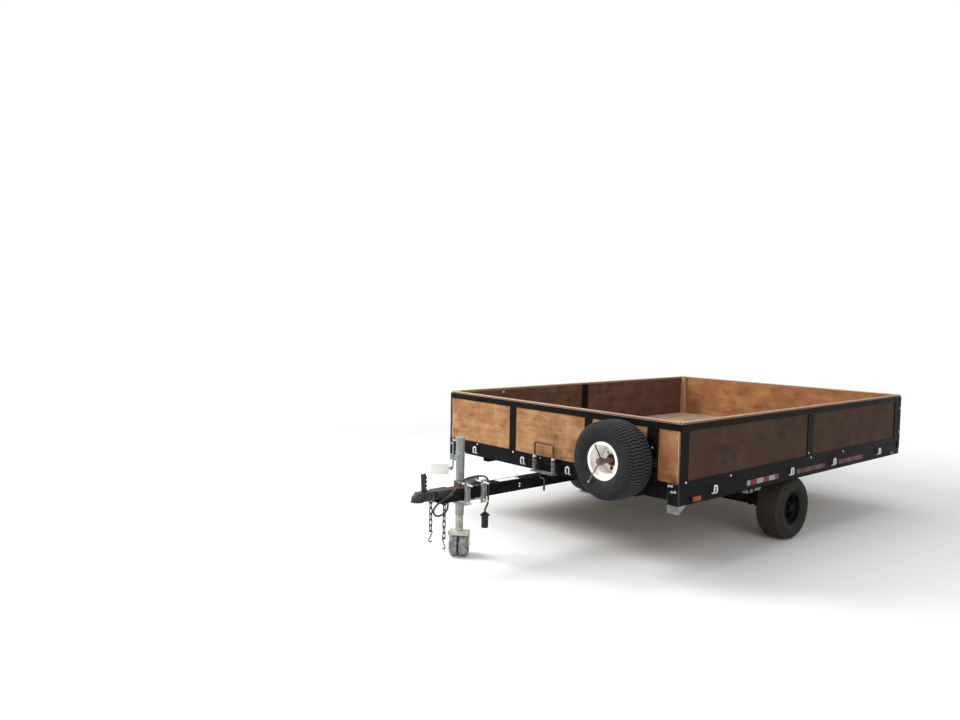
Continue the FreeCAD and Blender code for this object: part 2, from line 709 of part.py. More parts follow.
# Spare wheel: a carrier bar across two posts of the front wall, with a seat for the rim's disc and
# a stub through its hub hole
carrier_x = (BAR_THICK, BAR_THICK + CARRIER_THICK)
carrier_z = (SPARE_Z - CARRIER_HIGH / 2, SPARE_Z + CARRIER_HIGH / 2)
spare_x = carrier_x[1] + SPARE_WIDE / 2 + SPARE_CLEAR
spare_y = rail_y - SPARE_IN
seat_x = spare_x + SPARE_DISC - RIM_SHEET - SEAT_GAP
tyre_face = spare_x + SPARE_WIDE / 2
stub_tip = tyre_face + SPARE_STUB_OUT
third_post_y = (third - END_POST_WIDE / 2, third + END_POST_WIDE / 2)
save("spare_carrier", fuse([
    box(carrier_x, (third_post_y[0], spare_post_y[1]), carrier_z),
    box((0, carrier_x[1]), third_post_y, carrier_z),
    rod((carrier_x[1], spare_y, SPARE_Z), (stub_tip, spare_y, SPARE_Z), SPARE_STUB_R),
    rod((seat_x - SPARE_SEAT_THICK, spare_y, SPARE_Z), (seat_x, spare_y, SPARE_Z), SPARE_SEAT_R),
]))
spare_place = (spare_x, spare_y, SPARE_Z)
spare_rim = rim(SPARE_RIM_WIDE, SPARE_DISC, SPARE_HOLE_R)
for i in range(LUG_COUNT):
    turn = math.radians(180 + 360 * i / LUG_COUNT)
    y, z = LUG_CIRCLE_R * math.sin(turn), LUG_CIRCLE_R * math.cos(turn)
    spare_rim = spare_rim.cut(rod((SPARE_DISC - DISC_DISH, y, z), (SPARE_DISC, y, z), LUG_HOLE_R))
save("spare_rim", placed(spare_rim, spare_place))
save("spare_tyre", placed(tyre(SPARE_R, SPARE_WIDE, SPARE_RIM_WIDE), spare_place))

# Hold rods: a collar on the stub with one rod up to the rim's lip and one down to the tyre
rim_face = spare_x + SPARE_RIM_WIDE / 2
collar_tip = tyre_face + 2 * HOLD_ROD_R + HOLD_COLLAR_OVER
hold_rods = [rod((rim_face, spare_y, SPARE_Z), (collar_tip, spare_y, SPARE_Z), HOLD_COLLAR_R)]
for face, turn, reach in (
        (rim_face, HOLD_ROD_UP, RIM_R + RIM_LIP / 2),
        (tyre_face, HOLD_ROD_DOWN, HOLD_ROD_REACH)):
    x = face + SEAT_GAP + HOLD_ROD_R
    turn = math.radians(turn)
    tip = (x, spare_y + reach * math.sin(turn), SPARE_Z + reach * math.cos(turn))
    hold_rods.append(rod((x, spare_y, SPARE_Z), tip, HOLD_ROD_R))
stub_hole = rod(spare_place, (stub_tip, spare_y, SPARE_Z), SPARE_STUB_R + SEAT_GAP)
save("spare_hold_rods", fuse(hold_rods).cut(stub_hole))

# Pivot: two ears under the middle cross member and the pin that the tongue's sleeve turns on
ear_in = SLEEVE_LONG / 2 + EAR_CLEAR
ear_out = ear_in + EAR_THICK
pin_tip = ear_out + PIN_OVER
pivot = [rod((PIVOT_X, -pin_tip, tongue_mid), (PIVOT_X, pin_tip, tongue_mid), PIVOT_PIN_R)]
pivot += both_sides(box((PIVOT_X - EAR_WIDE / 2, PIVOT_X + EAR_WIDE / 2), (ear_in, ear_out),
                        (tongue_mid - SLEEVE_R, cross_low)))
save("pivot_ears", fuse(pivot))

# Tongue: one square tube from the pivot's sleeve to the coupler
inner_side = tongue_side - TONGUE_WALL
sleeve_end = (PIVOT_X, SLEEVE_LONG / 2, tongue_mid)
sleeve_other = (PIVOT_X, -SLEEVE_LONG / 2, tongue_mid)
tongue = box((PIVOT_X, TONGUE_FRONT_X), (-tongue_side, tongue_side), (tongue_low, tongue_top))
tongue = tongue.cut(box((PIVOT_X + SLEEVE_R + TONGUE_WALL, TONGUE_FRONT_X), (-inner_side, inner_side),
                        (tongue_low + TONGUE_WALL, tongue_top - TONGUE_WALL)))
tongue = fuse([tongue, rod(sleeve_end, sleeve_other, SLEEVE_R)])
tongue = tongue.cut(rod(sleeve_end, sleeve_other, PIVOT_PIN_R + PIVOT_FIT))
cable_exit = (CABLE_EXIT_X, CABLE_EXIT_Y, tongue_low)
tongue = tongue.cut(rod(cable_exit, (CABLE_EXIT_X, CABLE_EXIT_Y, tongue_mid), CABLE_R + SEAT_GAP))
save("tongue", tongue)

# Hold-down: a plate on the tongue, and the sprung U-bar with its two lugs on the bed
plate_top = tongue_top + LATCH_PLATE_THICK
half_plate = LATCH_PLATE_WIDE / 2
save("latch_plate", box(LATCH_PLATE_X, (-half_plate, half_plate), (tongue_top, plate_top)))
bar_foot = plate_top + SEAT_GAP
save("hold_down_bar", bent_rod([
    (LATCH_BAR_X, -LATCH_BAR_Y, bar_foot), (LATCH_BAR_X, -LATCH_BAR_Y, LATCH_BAR_TOP),
    (LATCH_BAR_X, LATCH_BAR_Y, LATCH_BAR_TOP), (LATCH_BAR_X, LATCH_BAR_Y, bar_foot),
], LATCH_BAR_R, LATCH_BAR_BEND))
lug_low = bar_foot + LATCH_SPRING_HIGH
lug_top = lug_low + LATCH_LUG_THICK
lug_y = (LATCH_BAR_Y - LATCH_LUG_WIDE / 2, LATCH_BAR_Y + LATCH_LUG_WIDE / 2)
guide = fuse([
    box((0, LATCH_BAR_X + LATCH_SPRING_R), lug_y, (lug_low, lug_top)),
    rod((LATCH_BAR_X, LATCH_BAR_Y, bar_foot + LATCH_SPRING_LIFT), (LATCH_BAR_X, LATCH_BAR_Y, lug_low),
        LATCH_SPRING_R),
])
guide = guide.cut(rod((LATCH_BAR_X, LATCH_BAR_Y, bar_foot), (LATCH_BAR_X, LATCH_BAR_Y, lug_top),
                      LATCH_BAR_R + SEAT_GAP))
save("hold_down_springs", both_sides(guide))

# Coupler: domed head with a ball socket, a neck, and a saddle over the tongue's end
ball_z = tongue_mid + BALL_LIFT
neck_low = ball_z - SOCKET_DEEP
saddle_low = tongue_top + SEAT_GAP
saddle_top = saddle_low + SADDLE_WALL
saddle_x = (TONGUE_FRONT_X + SADDLE_OVER, TONGUE_FRONT_X + SADDLE_OVER - SADDLE_LONG)
saddle_in = tongue_side + SEAT_GAP
saddle_out = saddle_in + SADDLE_WALL
ball_foot = Vector(BALL_X, 0, neck_low)
ball_middle = Vector(BALL_X, 0, ball_z)
coupler = [
    box(saddle_x, (-saddle_out, saddle_out), (saddle_low, saddle_top)),
    box((TONGUE_FRONT_X + SEAT_GAP, BALL_X), (-NECK_WIDE / 2, NECK_WIDE / 2), (neck_low, saddle_top)),
    Part.makeCylinder(HEAD_R, SOCKET_DEEP, ball_foot),
    Part.makeCylinder(HEAD_R + HEAD_LIP, HEAD_LIP_HIGH, ball_foot),
    Part.makeSphere(HEAD_R, ball_middle, Vector(0, 0, 1), 0, 90, 360),
]
coupler += both_sides(box(saddle_x, (saddle_in, saddle_out), (saddle_top - SADDLE_SKIRT, saddle_top)))
coupler = fuse(coupler).cut(Part.makeCylinder(SOCKET_R, SOCKET_DEEP, ball_foot))
save("coupler", coupler.cut(Part.makeSphere(SOCKET_R, ball_middle)))

# Coupler latch: upright lever on the neck, with teeth down its rear edge
lever_low = saddle_top + SEAT_GAP
lever_top = lever_low + LATCH_LEVER_HIGH
lever_front = BALL_X - HEAD_R + LATCH_LEVER_OVER
lever_rear = lever_front - LATCH_LEVER_WIDE
tooth_high = LATCH_LEVER_HIGH / (2 * LATCH_TEETH + 1)
profile = [(lever_rear, lever_low), (lever_front - LATCH_TOOTH_DEEP / 2, lever_low),
           (lever_front, lever_top), (lever_rear + LATCH_TOOTH_DEEP, lever_top)]
for i in range(LATCH_TEETH):
    z = lever_top - tooth_high * (2 * i + 1)
    profile += [(lever_rear + LATCH_TOOTH_DEEP, z), (lever_rear, z - tooth_high)]
lever = outline([(x, -LATCH_LEVER_THICK / 2, z) for x, z in profile])
save("coupler_latch", lever.extrude(Vector(0, LATCH_LEVER_THICK, 0)))


# Safety chains: welded links that hang from an eye, with an open hook at each end
def hung(edges, wire_r, top, facing):
    """Round bar along edges in the YZ plane, turned about Z and hung by its upper wire."""
    start = edges[0].valueAt(edges[0].FirstParameter)
    along = edges[0].tangentAt(edges[0].FirstParameter)
    shape = Part.Wire(edges).makePipeShell([Part.Wire(Part.makeCircle(wire_r, start, along))], True, False)
    return placed(shape, top, facing)


def link(top, facing):
    """Long link with half-round ends."""
    side = LINK_WIDE / 2 - LINK_WIRE_R
    low = LINK_PITCH + 2 * LINK_WIRE_R
    return hung([
        Part.Arc(Vector(0, -side, -side), Vector(0, 0, 0), Vector(0, side, -side)).toShape(),
        Part.LineSegment(Vector(0, side, -side), Vector(0, side, side - low)).toShape(),
        Part.Arc(Vector(0, side, side - low), Vector(0, 0, -low), Vector(0, -side, side - low)).toShape(),
        Part.LineSegment(Vector(0, -side, side - low), Vector(0, -side, -side)).toShape(),
    ], LINK_WIRE_R, top, facing)


def open_hook(top, facing):
    """S-shaped hook: two open bends joined by a slanting shank that touches both."""
    low = -2 * HOOK_BEND_R - HOOK_CENTRES
    lean = math.acos(2 * HOOK_BEND_R / HOOK_CENTRES)
    mouth = math.radians(HOOK_MOUTH)
    leave = Vector(0, HOOK_BEND_R * math.sin(lean), -HOOK_BEND_R * (1 + math.cos(lean)))
    tip = Vector(0, -HOOK_BEND_R * math.cos(mouth), -HOOK_BEND_R * (1 + math.sin(mouth)))
    arrive = Vector(0, -leave.y, low - leave.z)
    end = Vector(0, -tip.y, low - tip.z)
    return hung([
        Part.Arc(tip, Vector(0, 0, 0), leave).toShape(),
        Part.LineSegment(leave, arrive).toShape(),
        Part.Arc(arrive, Vector(0, 0, low), end).toShape(),
    ], HOOK_ROD_R, top, facing)


chains = []
for x, ceiling, links, facing in (
        (CHAIN_FRONT_X, neck_low, CHAIN_FRONT_LINKS, 0.0),
        (CHAIN_REAR_X, tongue_low, CHAIN_REAR_LINKS, 0.0)):
    eye_low = ceiling - CHAIN_EYE_DROP
    chains.append(bent_rod([(x - CHAIN_EYE_R, 0, ceiling), (x - CHAIN_EYE_R, 0, eye_low),
                            (x + CHAIN_EYE_R, 0, eye_low), (x + CHAIN_EYE_R, 0, ceiling)],
                           CHAIN_EYE_ROD_R, CHAIN_EYE_BEND))
    wire_z = eye_low + CHAIN_EYE_ROD_R + LINK_WIRE_R + SEAT_GAP
    for i in range(links):
        chains.append(link((x, 0, wire_z), facing + 90 * i))
        wire_z -= LINK_PITCH - SEAT_GAP
    wire_z += HOOK_ROD_R - LINK_WIRE_R
    chains.append(open_hook((x, 0, wire_z), facing + 90 * links))
save("safety_chains", chains)

# Jack mount: plate and stub on the tongue's right side, two channel straps on its left, four long
# bolts
mount_y = -(tongue_side + SEAT_GAP)
plate_y = mount_y - JACK_PLATE_THICK
strap_out = -mount_y + STRAP_THICK
clamp_z = (tongue_low - STRAP_OVER, tongue_top + STRAP_OVER)
bolt_z = (tongue_low - STRAP_OVER / 2, tongue_top + STRAP_OVER / 2)
stub_end = JACK_Y + JACK_STUB_INTO
plate_x = (JACK_PLATE_MID_X - JACK_PLATE_LONG / 2, JACK_PLATE_MID_X + JACK_PLATE_LONG / 2)
mount = fuse([
    box(plate_x, (mount_y, plate_y), clamp_z),
    rod((JACK_X, plate_y, tongue_mid), (JACK_X, stub_end, tongue_mid), JACK_STUB_R),
])
straps, bolts = [], []
for x in STRAP_X:
    edges = (x - STRAP_WIDE / 2, x + STRAP_WIDE / 2)
    strap = fuse([box(edges, (-mount_y, strap_out), clamp_z)] + [
        box((edge, edge + inward * STRAP_THICK), (-mount_y, strap_out + STRAP_RIB), clamp_z)
        for edge, inward in zip(edges, (1, -1))])
    for z in bolt_z:
        hole = rod((x, plate_y, z), (x, strap_out, z), STRAP_BOLT_R + SEAT_GAP)
        strap = strap.cut(hole)
        mount = mount.cut(hole)
        bolts.append(fuse([
            rod((x, plate_y, z), (x, strap_out + STRAP_BOLT_OUT, z), STRAP_BOLT_R),
            rod((x, plate_y - BOLT_HEAD_HIGH, z), (x, plate_y, z), BOLT_HEAD_R),
            rod((x, strap_out, z), (x, strap_out + BOLT_NUT_HIGH, z), BOLT_HEAD_R),
        ]))
    straps.append(strap)
save("jack_mount", mount)
save("jack_straps", straps)
save("jack_bolts", bolts)


def upright(radius, z):
    """Round bar on the jack's axis between two heights."""
    return rod((JACK_X, JACK_Y, z[0]), (JACK_X, JACK_Y, z[1]), radius)


# Jack tube: open below for the leg, with a boss that turns on the stub and a cap
bore_r = JACK_TUBE_R - JACK_TUBE_WALL
tube = fuse([
    upright(JACK_TUBE_R, (JACK_TUBE_LOW, JACK_TUBE_TOP)),
    upright(JACK_TUBE_R + JACK_CAP_OVER, (JACK_TUBE_TOP, JACK_TUBE_TOP + JACK_CAP_HIGH)),
    rod((JACK_X, JACK_Y, tongue_mid), (JACK_X, plate_y - BOSS_CLEAR, tongue_mid), JACK_BOSS_R),
])
tube = tube.cut(upright(bore_r, (JACK_TUBE_LOW, JACK_TUBE_TOP - JACK_CAP_HIGH)))
tube = tube.cut(rod((JACK_X, stub_end - BOSS_CLEAR, tongue_mid), (JACK_X, mount_y, tongue_mid),
                    JACK_STUB_R + JACK_STUB_FIT))
save("jack_tube", tube)

# Crank at the top of the jack: a shaft to the right, an arm that hangs down and a round grip
tube_side = JACK_Y - JACK_TUBE_R
arm_y = tube_side - CRANK_OUT
grip_y = arm_y - CRANK_GRIP_LONG
crank_low = CRANK_Z - CRANK_DROP
crank = bent_rod([(JACK_X, tube_side, CRANK_Z), (JACK_X, arm_y, CRANK_Z), (JACK_X, arm_y, crank_low),
                  (JACK_X, grip_y, crank_low)], CRANK_R, CRANK_BEND)
grip = rod((JACK_X, grip_y, crank_low), (JACK_X, arm_y - CRANK_BEND, crank_low), CRANK_GRIP_R)
save("jack_crank", fuse([crank, grip]))

# Jack leg: slides in the tube; the plug in its foot takes the swivel's stem
fork_top = 2 * CASTER_R + CASTER_CLEAR + CASTER_PLATE_THICK
leg_low = fork_top + SEAT_GAP
leg_r = bore_r - JACK_LEG_FIT
leg = upright(leg_r, (leg_low, JACK_LEG_TOP))
leg = leg.cut(upright(leg_r - JACK_LEG_WALL, (leg_low + LEG_PLUG_HIGH, JACK_LEG_TOP)))
save("jack_leg", leg.cut(upright(CASTER_STEM_R + CASTER_STEM_FIT, (leg_low, leg_low + LEG_PLUG_HIGH))))

# Swivel fork: plate with a stem above, a lip in front and a cheek outside each wheel; the axle
# trails the stem
cheek_in = CASTER_GAP / 2 + CASTER_WHEEL_WIDE + CASTER_SIDE_GAP
cheek_out = cheek_in + CASTER_CHEEK_THICK
cheek_x = (-CASTER_TRAIL - CASTER_CHEEK_WIDE / 2, -CASTER_TRAIL + CASTER_CHEEK_WIDE / 2)
axle_tip = cheek_out + CASTER_CHEEK_THICK
fork = [
    box((cheek_x[0], CASTER_PLATE_REACH), (-cheek_out, cheek_out),
        (fork_top - CASTER_PLATE_THICK, fork_top)),
    box((CASTER_PLATE_REACH - CASTER_PLATE_THICK, CASTER_PLATE_REACH), (-cheek_out, cheek_out),
        (fork_top - CASTER_LIP_HIGH, fork_top)),
    rod((0, 0, fork_top), (0, 0, fork_top + LEG_PLUG_HIGH - CASTER_CHEEK_THICK), CASTER_STEM_R),
    rod((-CASTER_TRAIL, -axle_tip, CASTER_R), (-CASTER_TRAIL, axle_tip, CASTER_R), CASTER_AXLE_R),
]
fork += both_sides(box(cheek_x, (cheek_in, cheek_out), (CASTER_R - CASTER_CHEEK_WIDE / 2, fork_top)))
save("caster_fork", placed(fuse(fork), (JACK_X, JACK_Y, 0), CASTER_TURN))


# Caster wheels: a pair joined by a sleeve, recessed round the axle on both faces
def caster_wheel(middle):
    """Wheel about the Y axis."""
    bore = CASTER_AXLE_R + CASTER_FIT
    half = CASTER_WHEEL_WIDE / 2
    web = half - CASTER_RECESS
    side = [(web, bore), (web, CASTER_RECESS_R), (half, CASTER_RECESS_R), (half, CASTER_R - CASTER_ROUND),
            (half - CASTER_ROUND, CASTER_R)]
    ring = [(-y, r) for y, r in side] + [(y, r) for y, r in reversed(side)]
    return spin([(0, middle + y, r) for y, r in ring], (0, 0, 0), (0, 1, 0))


tie_half = CASTER_GAP / 2 + CASTER_RECESS + CASTER_FIT
wheel_middle = (CASTER_GAP + CASTER_WHEEL_WIDE) / 2
tie = rod((0, -tie_half, 0), (0, tie_half, 0), CASTER_TIE_R)
tie = tie.cut(rod((0, -tie_half, 0), (0, tie_half, 0), CASTER_AXLE_R + CASTER_FIT))
pair = fuse([caster_wheel(wheel_middle), caster_wheel(-wheel_middle), tie])
pair.translate(Vector(-CASTER_TRAIL, 0, CASTER_R))
save("caster_wheels", placed(pair, (JACK_X, JACK_Y, 0), CASTER_TURN))

# Wiring cable: out of a hole under the tongue, forward in a loop, back up the left side, over the
# top across the jack's bolts and down behind the rear strap to its plug
CABLE_ROUTE = [
    (CABLE_EXIT_X, CABLE_EXIT_Y, tongue_low + 2 * CABLE_R), (CABLE_EXIT_X, CABLE_EXIT_Y, 390),
    (883, 29, 367), (910, 36, 352), (943, 43, 346), (976, 49, 350), (1002, 54, 368), (1006, 57, 396),
    (984, 59, 420), (948, 59, 438), (910, 59, 455), (874, 58, 473), (840, 56, 493), (806, 46, 514),
    (772, 32, 531), (734, 22, 540), (694, 18, 543), (656, 21, 546), (622, 30, 547), (598, 40, 543),
    (578, 48, 527), (571, 50, 500), (571, 50, 466), (573, 50, 432), (575, 54, 404), (579, 59, 381),
    (589, 59, 360), (PLUG_X, PLUG_Y, 340),
    (PLUG_X, PLUG_Y, PLUG_TOP + PLUG_CONE_HIGH + SEAT_GAP),
]


def cable_bend(before, after, turn):
    """Radius of the arc between two runs of the route."""
    return 0.45 * min(before, after) / math.tan(turn / 2)


cable = bent_rod(CABLE_ROUTE, CABLE_R, cable_bend)
save("wiring_cable", cable)

# Round plug: barrel with a collar and a cone that grips the cable
save("wiring_plug", fuse([
    Part.makeCone(PLUG_R, 2 * CABLE_R, PLUG_CONE_HIGH, Vector(PLUG_X, PLUG_Y, PLUG_TOP)),
    rod((PLUG_X, PLUG_Y, PLUG_TOP - PLUG_COLLAR_HIGH), (PLUG_X, PLUG_Y, PLUG_TOP), PLUG_COLLAR_R),
    rod((PLUG_X, PLUG_Y, PLUG_TOP - PLUG_LONG), (PLUG_X, PLUG_Y, PLUG_TOP), PLUG_R),
]))
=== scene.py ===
"""Utility trailer with a tilting plywood bed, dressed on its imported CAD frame.

Metres. +X points forwards to the coupler, +Y to the trailer's left, +Z up, floor at Z = 0.
"""
import math

import bpy
import numpy as np
from mathutils import Matrix, Vector


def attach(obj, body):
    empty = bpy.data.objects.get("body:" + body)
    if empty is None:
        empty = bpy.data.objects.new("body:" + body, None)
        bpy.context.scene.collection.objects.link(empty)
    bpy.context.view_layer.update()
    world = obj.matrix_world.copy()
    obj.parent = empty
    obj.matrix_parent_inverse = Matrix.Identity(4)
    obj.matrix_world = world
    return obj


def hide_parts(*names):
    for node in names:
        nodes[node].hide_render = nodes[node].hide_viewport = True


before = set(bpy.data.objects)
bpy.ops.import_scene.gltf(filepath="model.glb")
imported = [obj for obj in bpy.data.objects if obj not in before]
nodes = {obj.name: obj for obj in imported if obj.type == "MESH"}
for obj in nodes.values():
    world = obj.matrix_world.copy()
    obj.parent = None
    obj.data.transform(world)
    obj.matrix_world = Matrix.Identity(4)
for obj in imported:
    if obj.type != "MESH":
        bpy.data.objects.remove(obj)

scene = bpy.context.scene
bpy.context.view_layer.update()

# Camera: stands off the trailer's front left corner at eye height and looks slightly down,
# as the photograph was taken with a short lens.
CAMERA_PLACE = (4.7185, 3.667, 1.546)
CAMERA_YAW = math.radians(229.59)
CAMERA_DOWN = math.radians(3.30)
CAMERA_ROLL = math.radians(1.03)
CAMERA_LENS = 29.1
ahead = Vector((math.cos(CAMERA_YAW) * math.cos(CAMERA_DOWN),
                math.sin(CAMERA_YAW) * math.cos(CAMERA_DOWN), -math.sin(CAMERA_DOWN)))
right = ahead.cross(Vector((0, 0, 1))).normalized()
over = right.cross(ahead)
right, over = (right * math.cos(CAMERA_ROLL) + over * math.sin(CAMERA_ROLL),
               over * math.cos(CAMERA_ROLL) - right * math.sin(CAMERA_ROLL))
camera_data = bpy.data.cameras.new("photograph_camera")
camera_data.lens = CAMERA_LENS
camera_data.sensor_width = 36.0
camera_data.clip_start = 0.05
camera = bpy.data.objects.new("photograph_camera", camera_data)
turned_to = Matrix((right, over, -ahead)).transposed().to_4x4()
camera.matrix_world = Matrix.Translation(CAMERA_PLACE) @ turned_to
scene.collection.objects.link(camera)
scene.camera = camera

# Wiring cable: round cable in a black PVC sheath. It leaves a hole under the tongue, loops
# forward, goes back over the jack's bolts and hangs behind the rear strap by its round plug.
def linear(hex_colour):
    """sRGB hex to linear RGBA."""
    parts = [int(hex_colour[i:i + 2], 16) / 255 for i in (1, 3, 5)]
    return tuple(c / 12.92 if c <= 0.04045 else ((c + 0.055) / 1.055) ** 2.4 for c in parts) + (1.0,)

def add(material, kind, sockets=None, stops=(), **settings):
    """One shader node. A socket's value may be a number, a hex colour or another node's output;
    stops are the places of a colour ramp, each with its hex colour or its grey."""
    node = material.node_tree.nodes.new("ShaderNode" + kind)
    for name, value in settings.items():
        setattr(node, name, value)
    for key, value in (sockets or {}).items():
        if isinstance(value, bpy.types.NodeSocket):
            material.node_tree.links.new(value, node.inputs[key])
        else:
            node.inputs[key].default_value = linear(value) if isinstance(value, str) else value
    if stops:
        while len(node.color_ramp.elements) < len(stops):
            node.color_ramp.elements.new(0.5)
        for element, (place, colour) in zip(node.color_ramp.elements, stops):
            element.position = place
            element.color = linear(colour) if isinstance(colour, str) else (colour, colour, colour, 1)
    return node

def new_material(name):
    """Empty node material."""
    material = bpy.data.materials.new(name)
    material.use_nodes = True
    material.node_tree.nodes.clear()
    return material

def every(mm):
    """Scale of a pattern whose marks lie about so many millimetres apart."""
    return 1000 / mm

def coordinates(material, apart=(1000, 1000, 1000)):
    """Object coordinates, which are the trailer's frame, in steps of so many millimetres an axis."""
    place = add(material, "TexCoord")
    return add(material, "Mapping", {"Vector": place.outputs["Object"],
                                     "Scale": [every(mm) for mm in apart]}).outputs["Vector"]

def finish_surface(material, sockets):
    """Principled surface on the material's output."""
    surface = add(material, "BsdfPrincipled", sockets)
    add(material, "OutputMaterial", {"Surface": surface.outputs["BSDF"]})
    return material

def rubber(name, base, dust, rough, dusting=0.5, specular=0.3):
    """Rubber or plastic: matt, with a fine grain from the mould and dust that lies in patches."""
    material = new_material(name)
    place = coordinates(material)
    cloud = add(material, "TexNoise", {"Vector": place, "Scale": every(71.4), "Detail": 6.0,
                                       "Roughness": 0.6})
    patches = add(material, "ValToRGB", {"Fac": cloud.outputs["Fac"]},
                  stops=[(0.62 - 0.3 * dusting, 0.0), (0.95 - 0.2 * dusting, 1.0)])
    colour = add(material, "Mix", {0: patches.outputs["Color"], 6: base, 7: dust}, data_type="RGBA")
    # A mould's grain is about 0.1 mm and too fine to show, so it is drawn at 0.67 mm
    fine = add(material, "TexNoise", {"Vector": place, "Scale": every(0.67), "Detail": 2.0})
    bump = add(material, "Bump", {"Height": fine.outputs["Fac"], "Strength": 0.35, "Distance": 0.0004})
    return finish_surface(material, {
        "Base Color": colour.outputs[2], "Roughness": rough, "Specular IOR Level": specular,
        "Normal": bump.outputs["Normal"]})

# PVC sheath: extruded, dull black, with pale patches that are partly dust and partly painted light on the
# sheath
cable_sheath = rubber("pvc_cable_sheath_extruded", "#2b2725", "#6b6058", rough=0.5)
FRONT = 0.9795  # outer face of the front wall along the trailer
CABLE_THICK = 0.012
CABLE_ROUTE = [  # millimetres from the front wall, to the left and up
    (872, 25, 425.7), (872, 25, 390), (883, 29, 367), (910, 36, 352), (943, 43, 346), (976, 49, 350),
    (1002, 54, 368), (1006, 57, 396), (984, 59, 420), (948, 59, 438), (910, 59, 455), (874, 58, 473),
    (840, 56, 493), (806, 46, 514), (772, 32, 531), (734, 22, 540), (694, 18, 543), (656, 21, 546),
    (622, 30, 547), (598, 40, 543), (578, 48, 527), (571, 50, 500), (571, 50, 466), (573, 50, 432),
    (575, 54, 404), (579, 59, 381), (589, 59, 360), (600, 54, 340), (600, 54, 320.3),
]
route = [Vector((FRONT + x / 1000, y / 1000, z / 1000)) for x, y, z in CABLE_ROUTE]
cable_curve = bpy.data.curves.new("wiring_cable_sheath", "CURVE")
cable_curve.dimensions = "3D"
spline = cable_curve.splines.new("NURBS")
spline.points.add(len(route) - 1)
for point, place in zip(spline.points, route):
    point.co = (*place, 1.0)
spline.order_u = 3
spline.use_endpoint_u = True
spline.resolution_u = 12
cable_curve.bevel_depth = CABLE_THICK / 2
cable_curve.bevel_resolution = 6
cable_curve.use_fill_caps = True
cable_curve.materials.append(cable_sheath)
cable = bpy.data.objects.new("wiring_cable_sheath", cable_curve)
scene.collection.objects.link(cable)
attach(cable, "tongue")
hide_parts("wiring_cable")

# Round seven-pole plug: a ribbed barrel and collar moulded in black plastic, with a soft boot
# pushed over the cable's end. It hangs by its cable.
def skin(rings, closed=False):
    """Vertices and faces between rings of points; closed joins the last ring to the first."""
    count, size = len(rings), len(rings[0])
    faces = []
    for i in range(count if closed else count - 1):
        a, b = i * size, (i + 1) % count * size
        faces += [(a + j, a + (j + 1) % size, b + (j + 1) % size, b + j) for j in range(size)]
    if not closed:
        faces.append(tuple(reversed(range(size))))
        faces.append(tuple(range((count - 1) * size, count * size)))
    return [tuple(p) for ring in rings for p in ring], faces

def turned(profile, sides=32, ribs=0, rib_deep=0.0):
    """Shape turned about its own X axis from (along, radius) pairs, with ribs if any are asked for."""
    rings = []
    for along, radius in profile:
        ring = []
        for i in range(sides):
            angle = 2 * math.pi * i / sides
            r = radius - (rib_deep if ribs and math.cos(ribs * angle) < 0 else 0)
            ring.append((along, r * math.cos(angle), r * math.sin(angle)))
        rings.append(ring)
    return skin(rings)

def placed(part, place, towards=(1, 0, 0), spin=0.0):
    """Turns a part so that its X axis points towards a direction, and moves it to its place."""
    turn = Vector((1, 0, 0)).rotation_difference(Vector(towards)).to_matrix()
    turn = turn @ Matrix.Rotation(spin, 3, "X")
    return [tuple(turn @ Vector(v) + Vector(place)) for v in part[0]], part[1]

def stood(part, place):
    """Stands a turned part upright on its axis, whose lengths are heights above the floor."""
    return [(place[0] + y, place[1] + z, x) for x, y, z in part[0]], part[1]

def make(name, parts, material, body, smooth=40, over=()):
    """One object out of parts, riding on a body; over lists the CAD nodes that it stands for."""
    verts, faces = [], []
    for part_verts, part_faces in parts:
        faces += [tuple(i + len(verts) for i in face) for face in part_faces]
        verts += part_verts
    mesh = bpy.data.meshes.new(name)
    mesh.from_pydata(verts, [], faces)
    mesh.validate()
    if smooth:
        mesh.shade_smooth()
        mesh.set_sharp_from_angle(angle=math.radians(smooth))
    mesh.materials.append(material)
    piece = bpy.data.objects.new(name, mesh)
    scene.collection.objects.link(piece)
    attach(piece, body)
    if over:
        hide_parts(*over)
    return piece

# ABS: moulded, black, a little shiny, with dust in patches
plug_plastic = rubber("abs_plug_moulded", "#141414", "#35322d", rough=0.45, dusting=0.3)
PLUG = (FRONT + 0.600, 0.054)
PLUG_LOW, COLLAR_LOW, PLUG_TOP = 0.222, 0.297, 0.306
barrel = turned([(PLUG_LOW, 0.0175), (PLUG_LOW + 0.0012, 0.0212), (0.272, 0.0215), (0.2726, 0.0200),
                 (0.2756, 0.0200), (0.2762, 0.0218), (COLLAR_LOW - 0.0002, 0.0218)], 90, 18, 0.0011)
collar = turned([(COLLAR_LOW, 0.0250), (0.2980, 0.0294), (0.3045, 0.0300), (PLUG_TOP, 0.0280)], 96, 24,
                0.0016)
boot = turned([(PLUG_TOP, 0.0215), (0.3095, 0.0200), (0.3105, 0.0165), (0.3125, 0.0165), (0.3132, 0.0182),
               (0.3152, 0.0150), (0.3164, 0.0126), (0.3182, 0.0132), (0.3198, 0.0112)], 40)
plug = make("round_wiring_plug", [stood(part, PLUG) for part in (barrel, collar, boot)], plug_plastic,
            "tongue", over=["wiring_plug"])

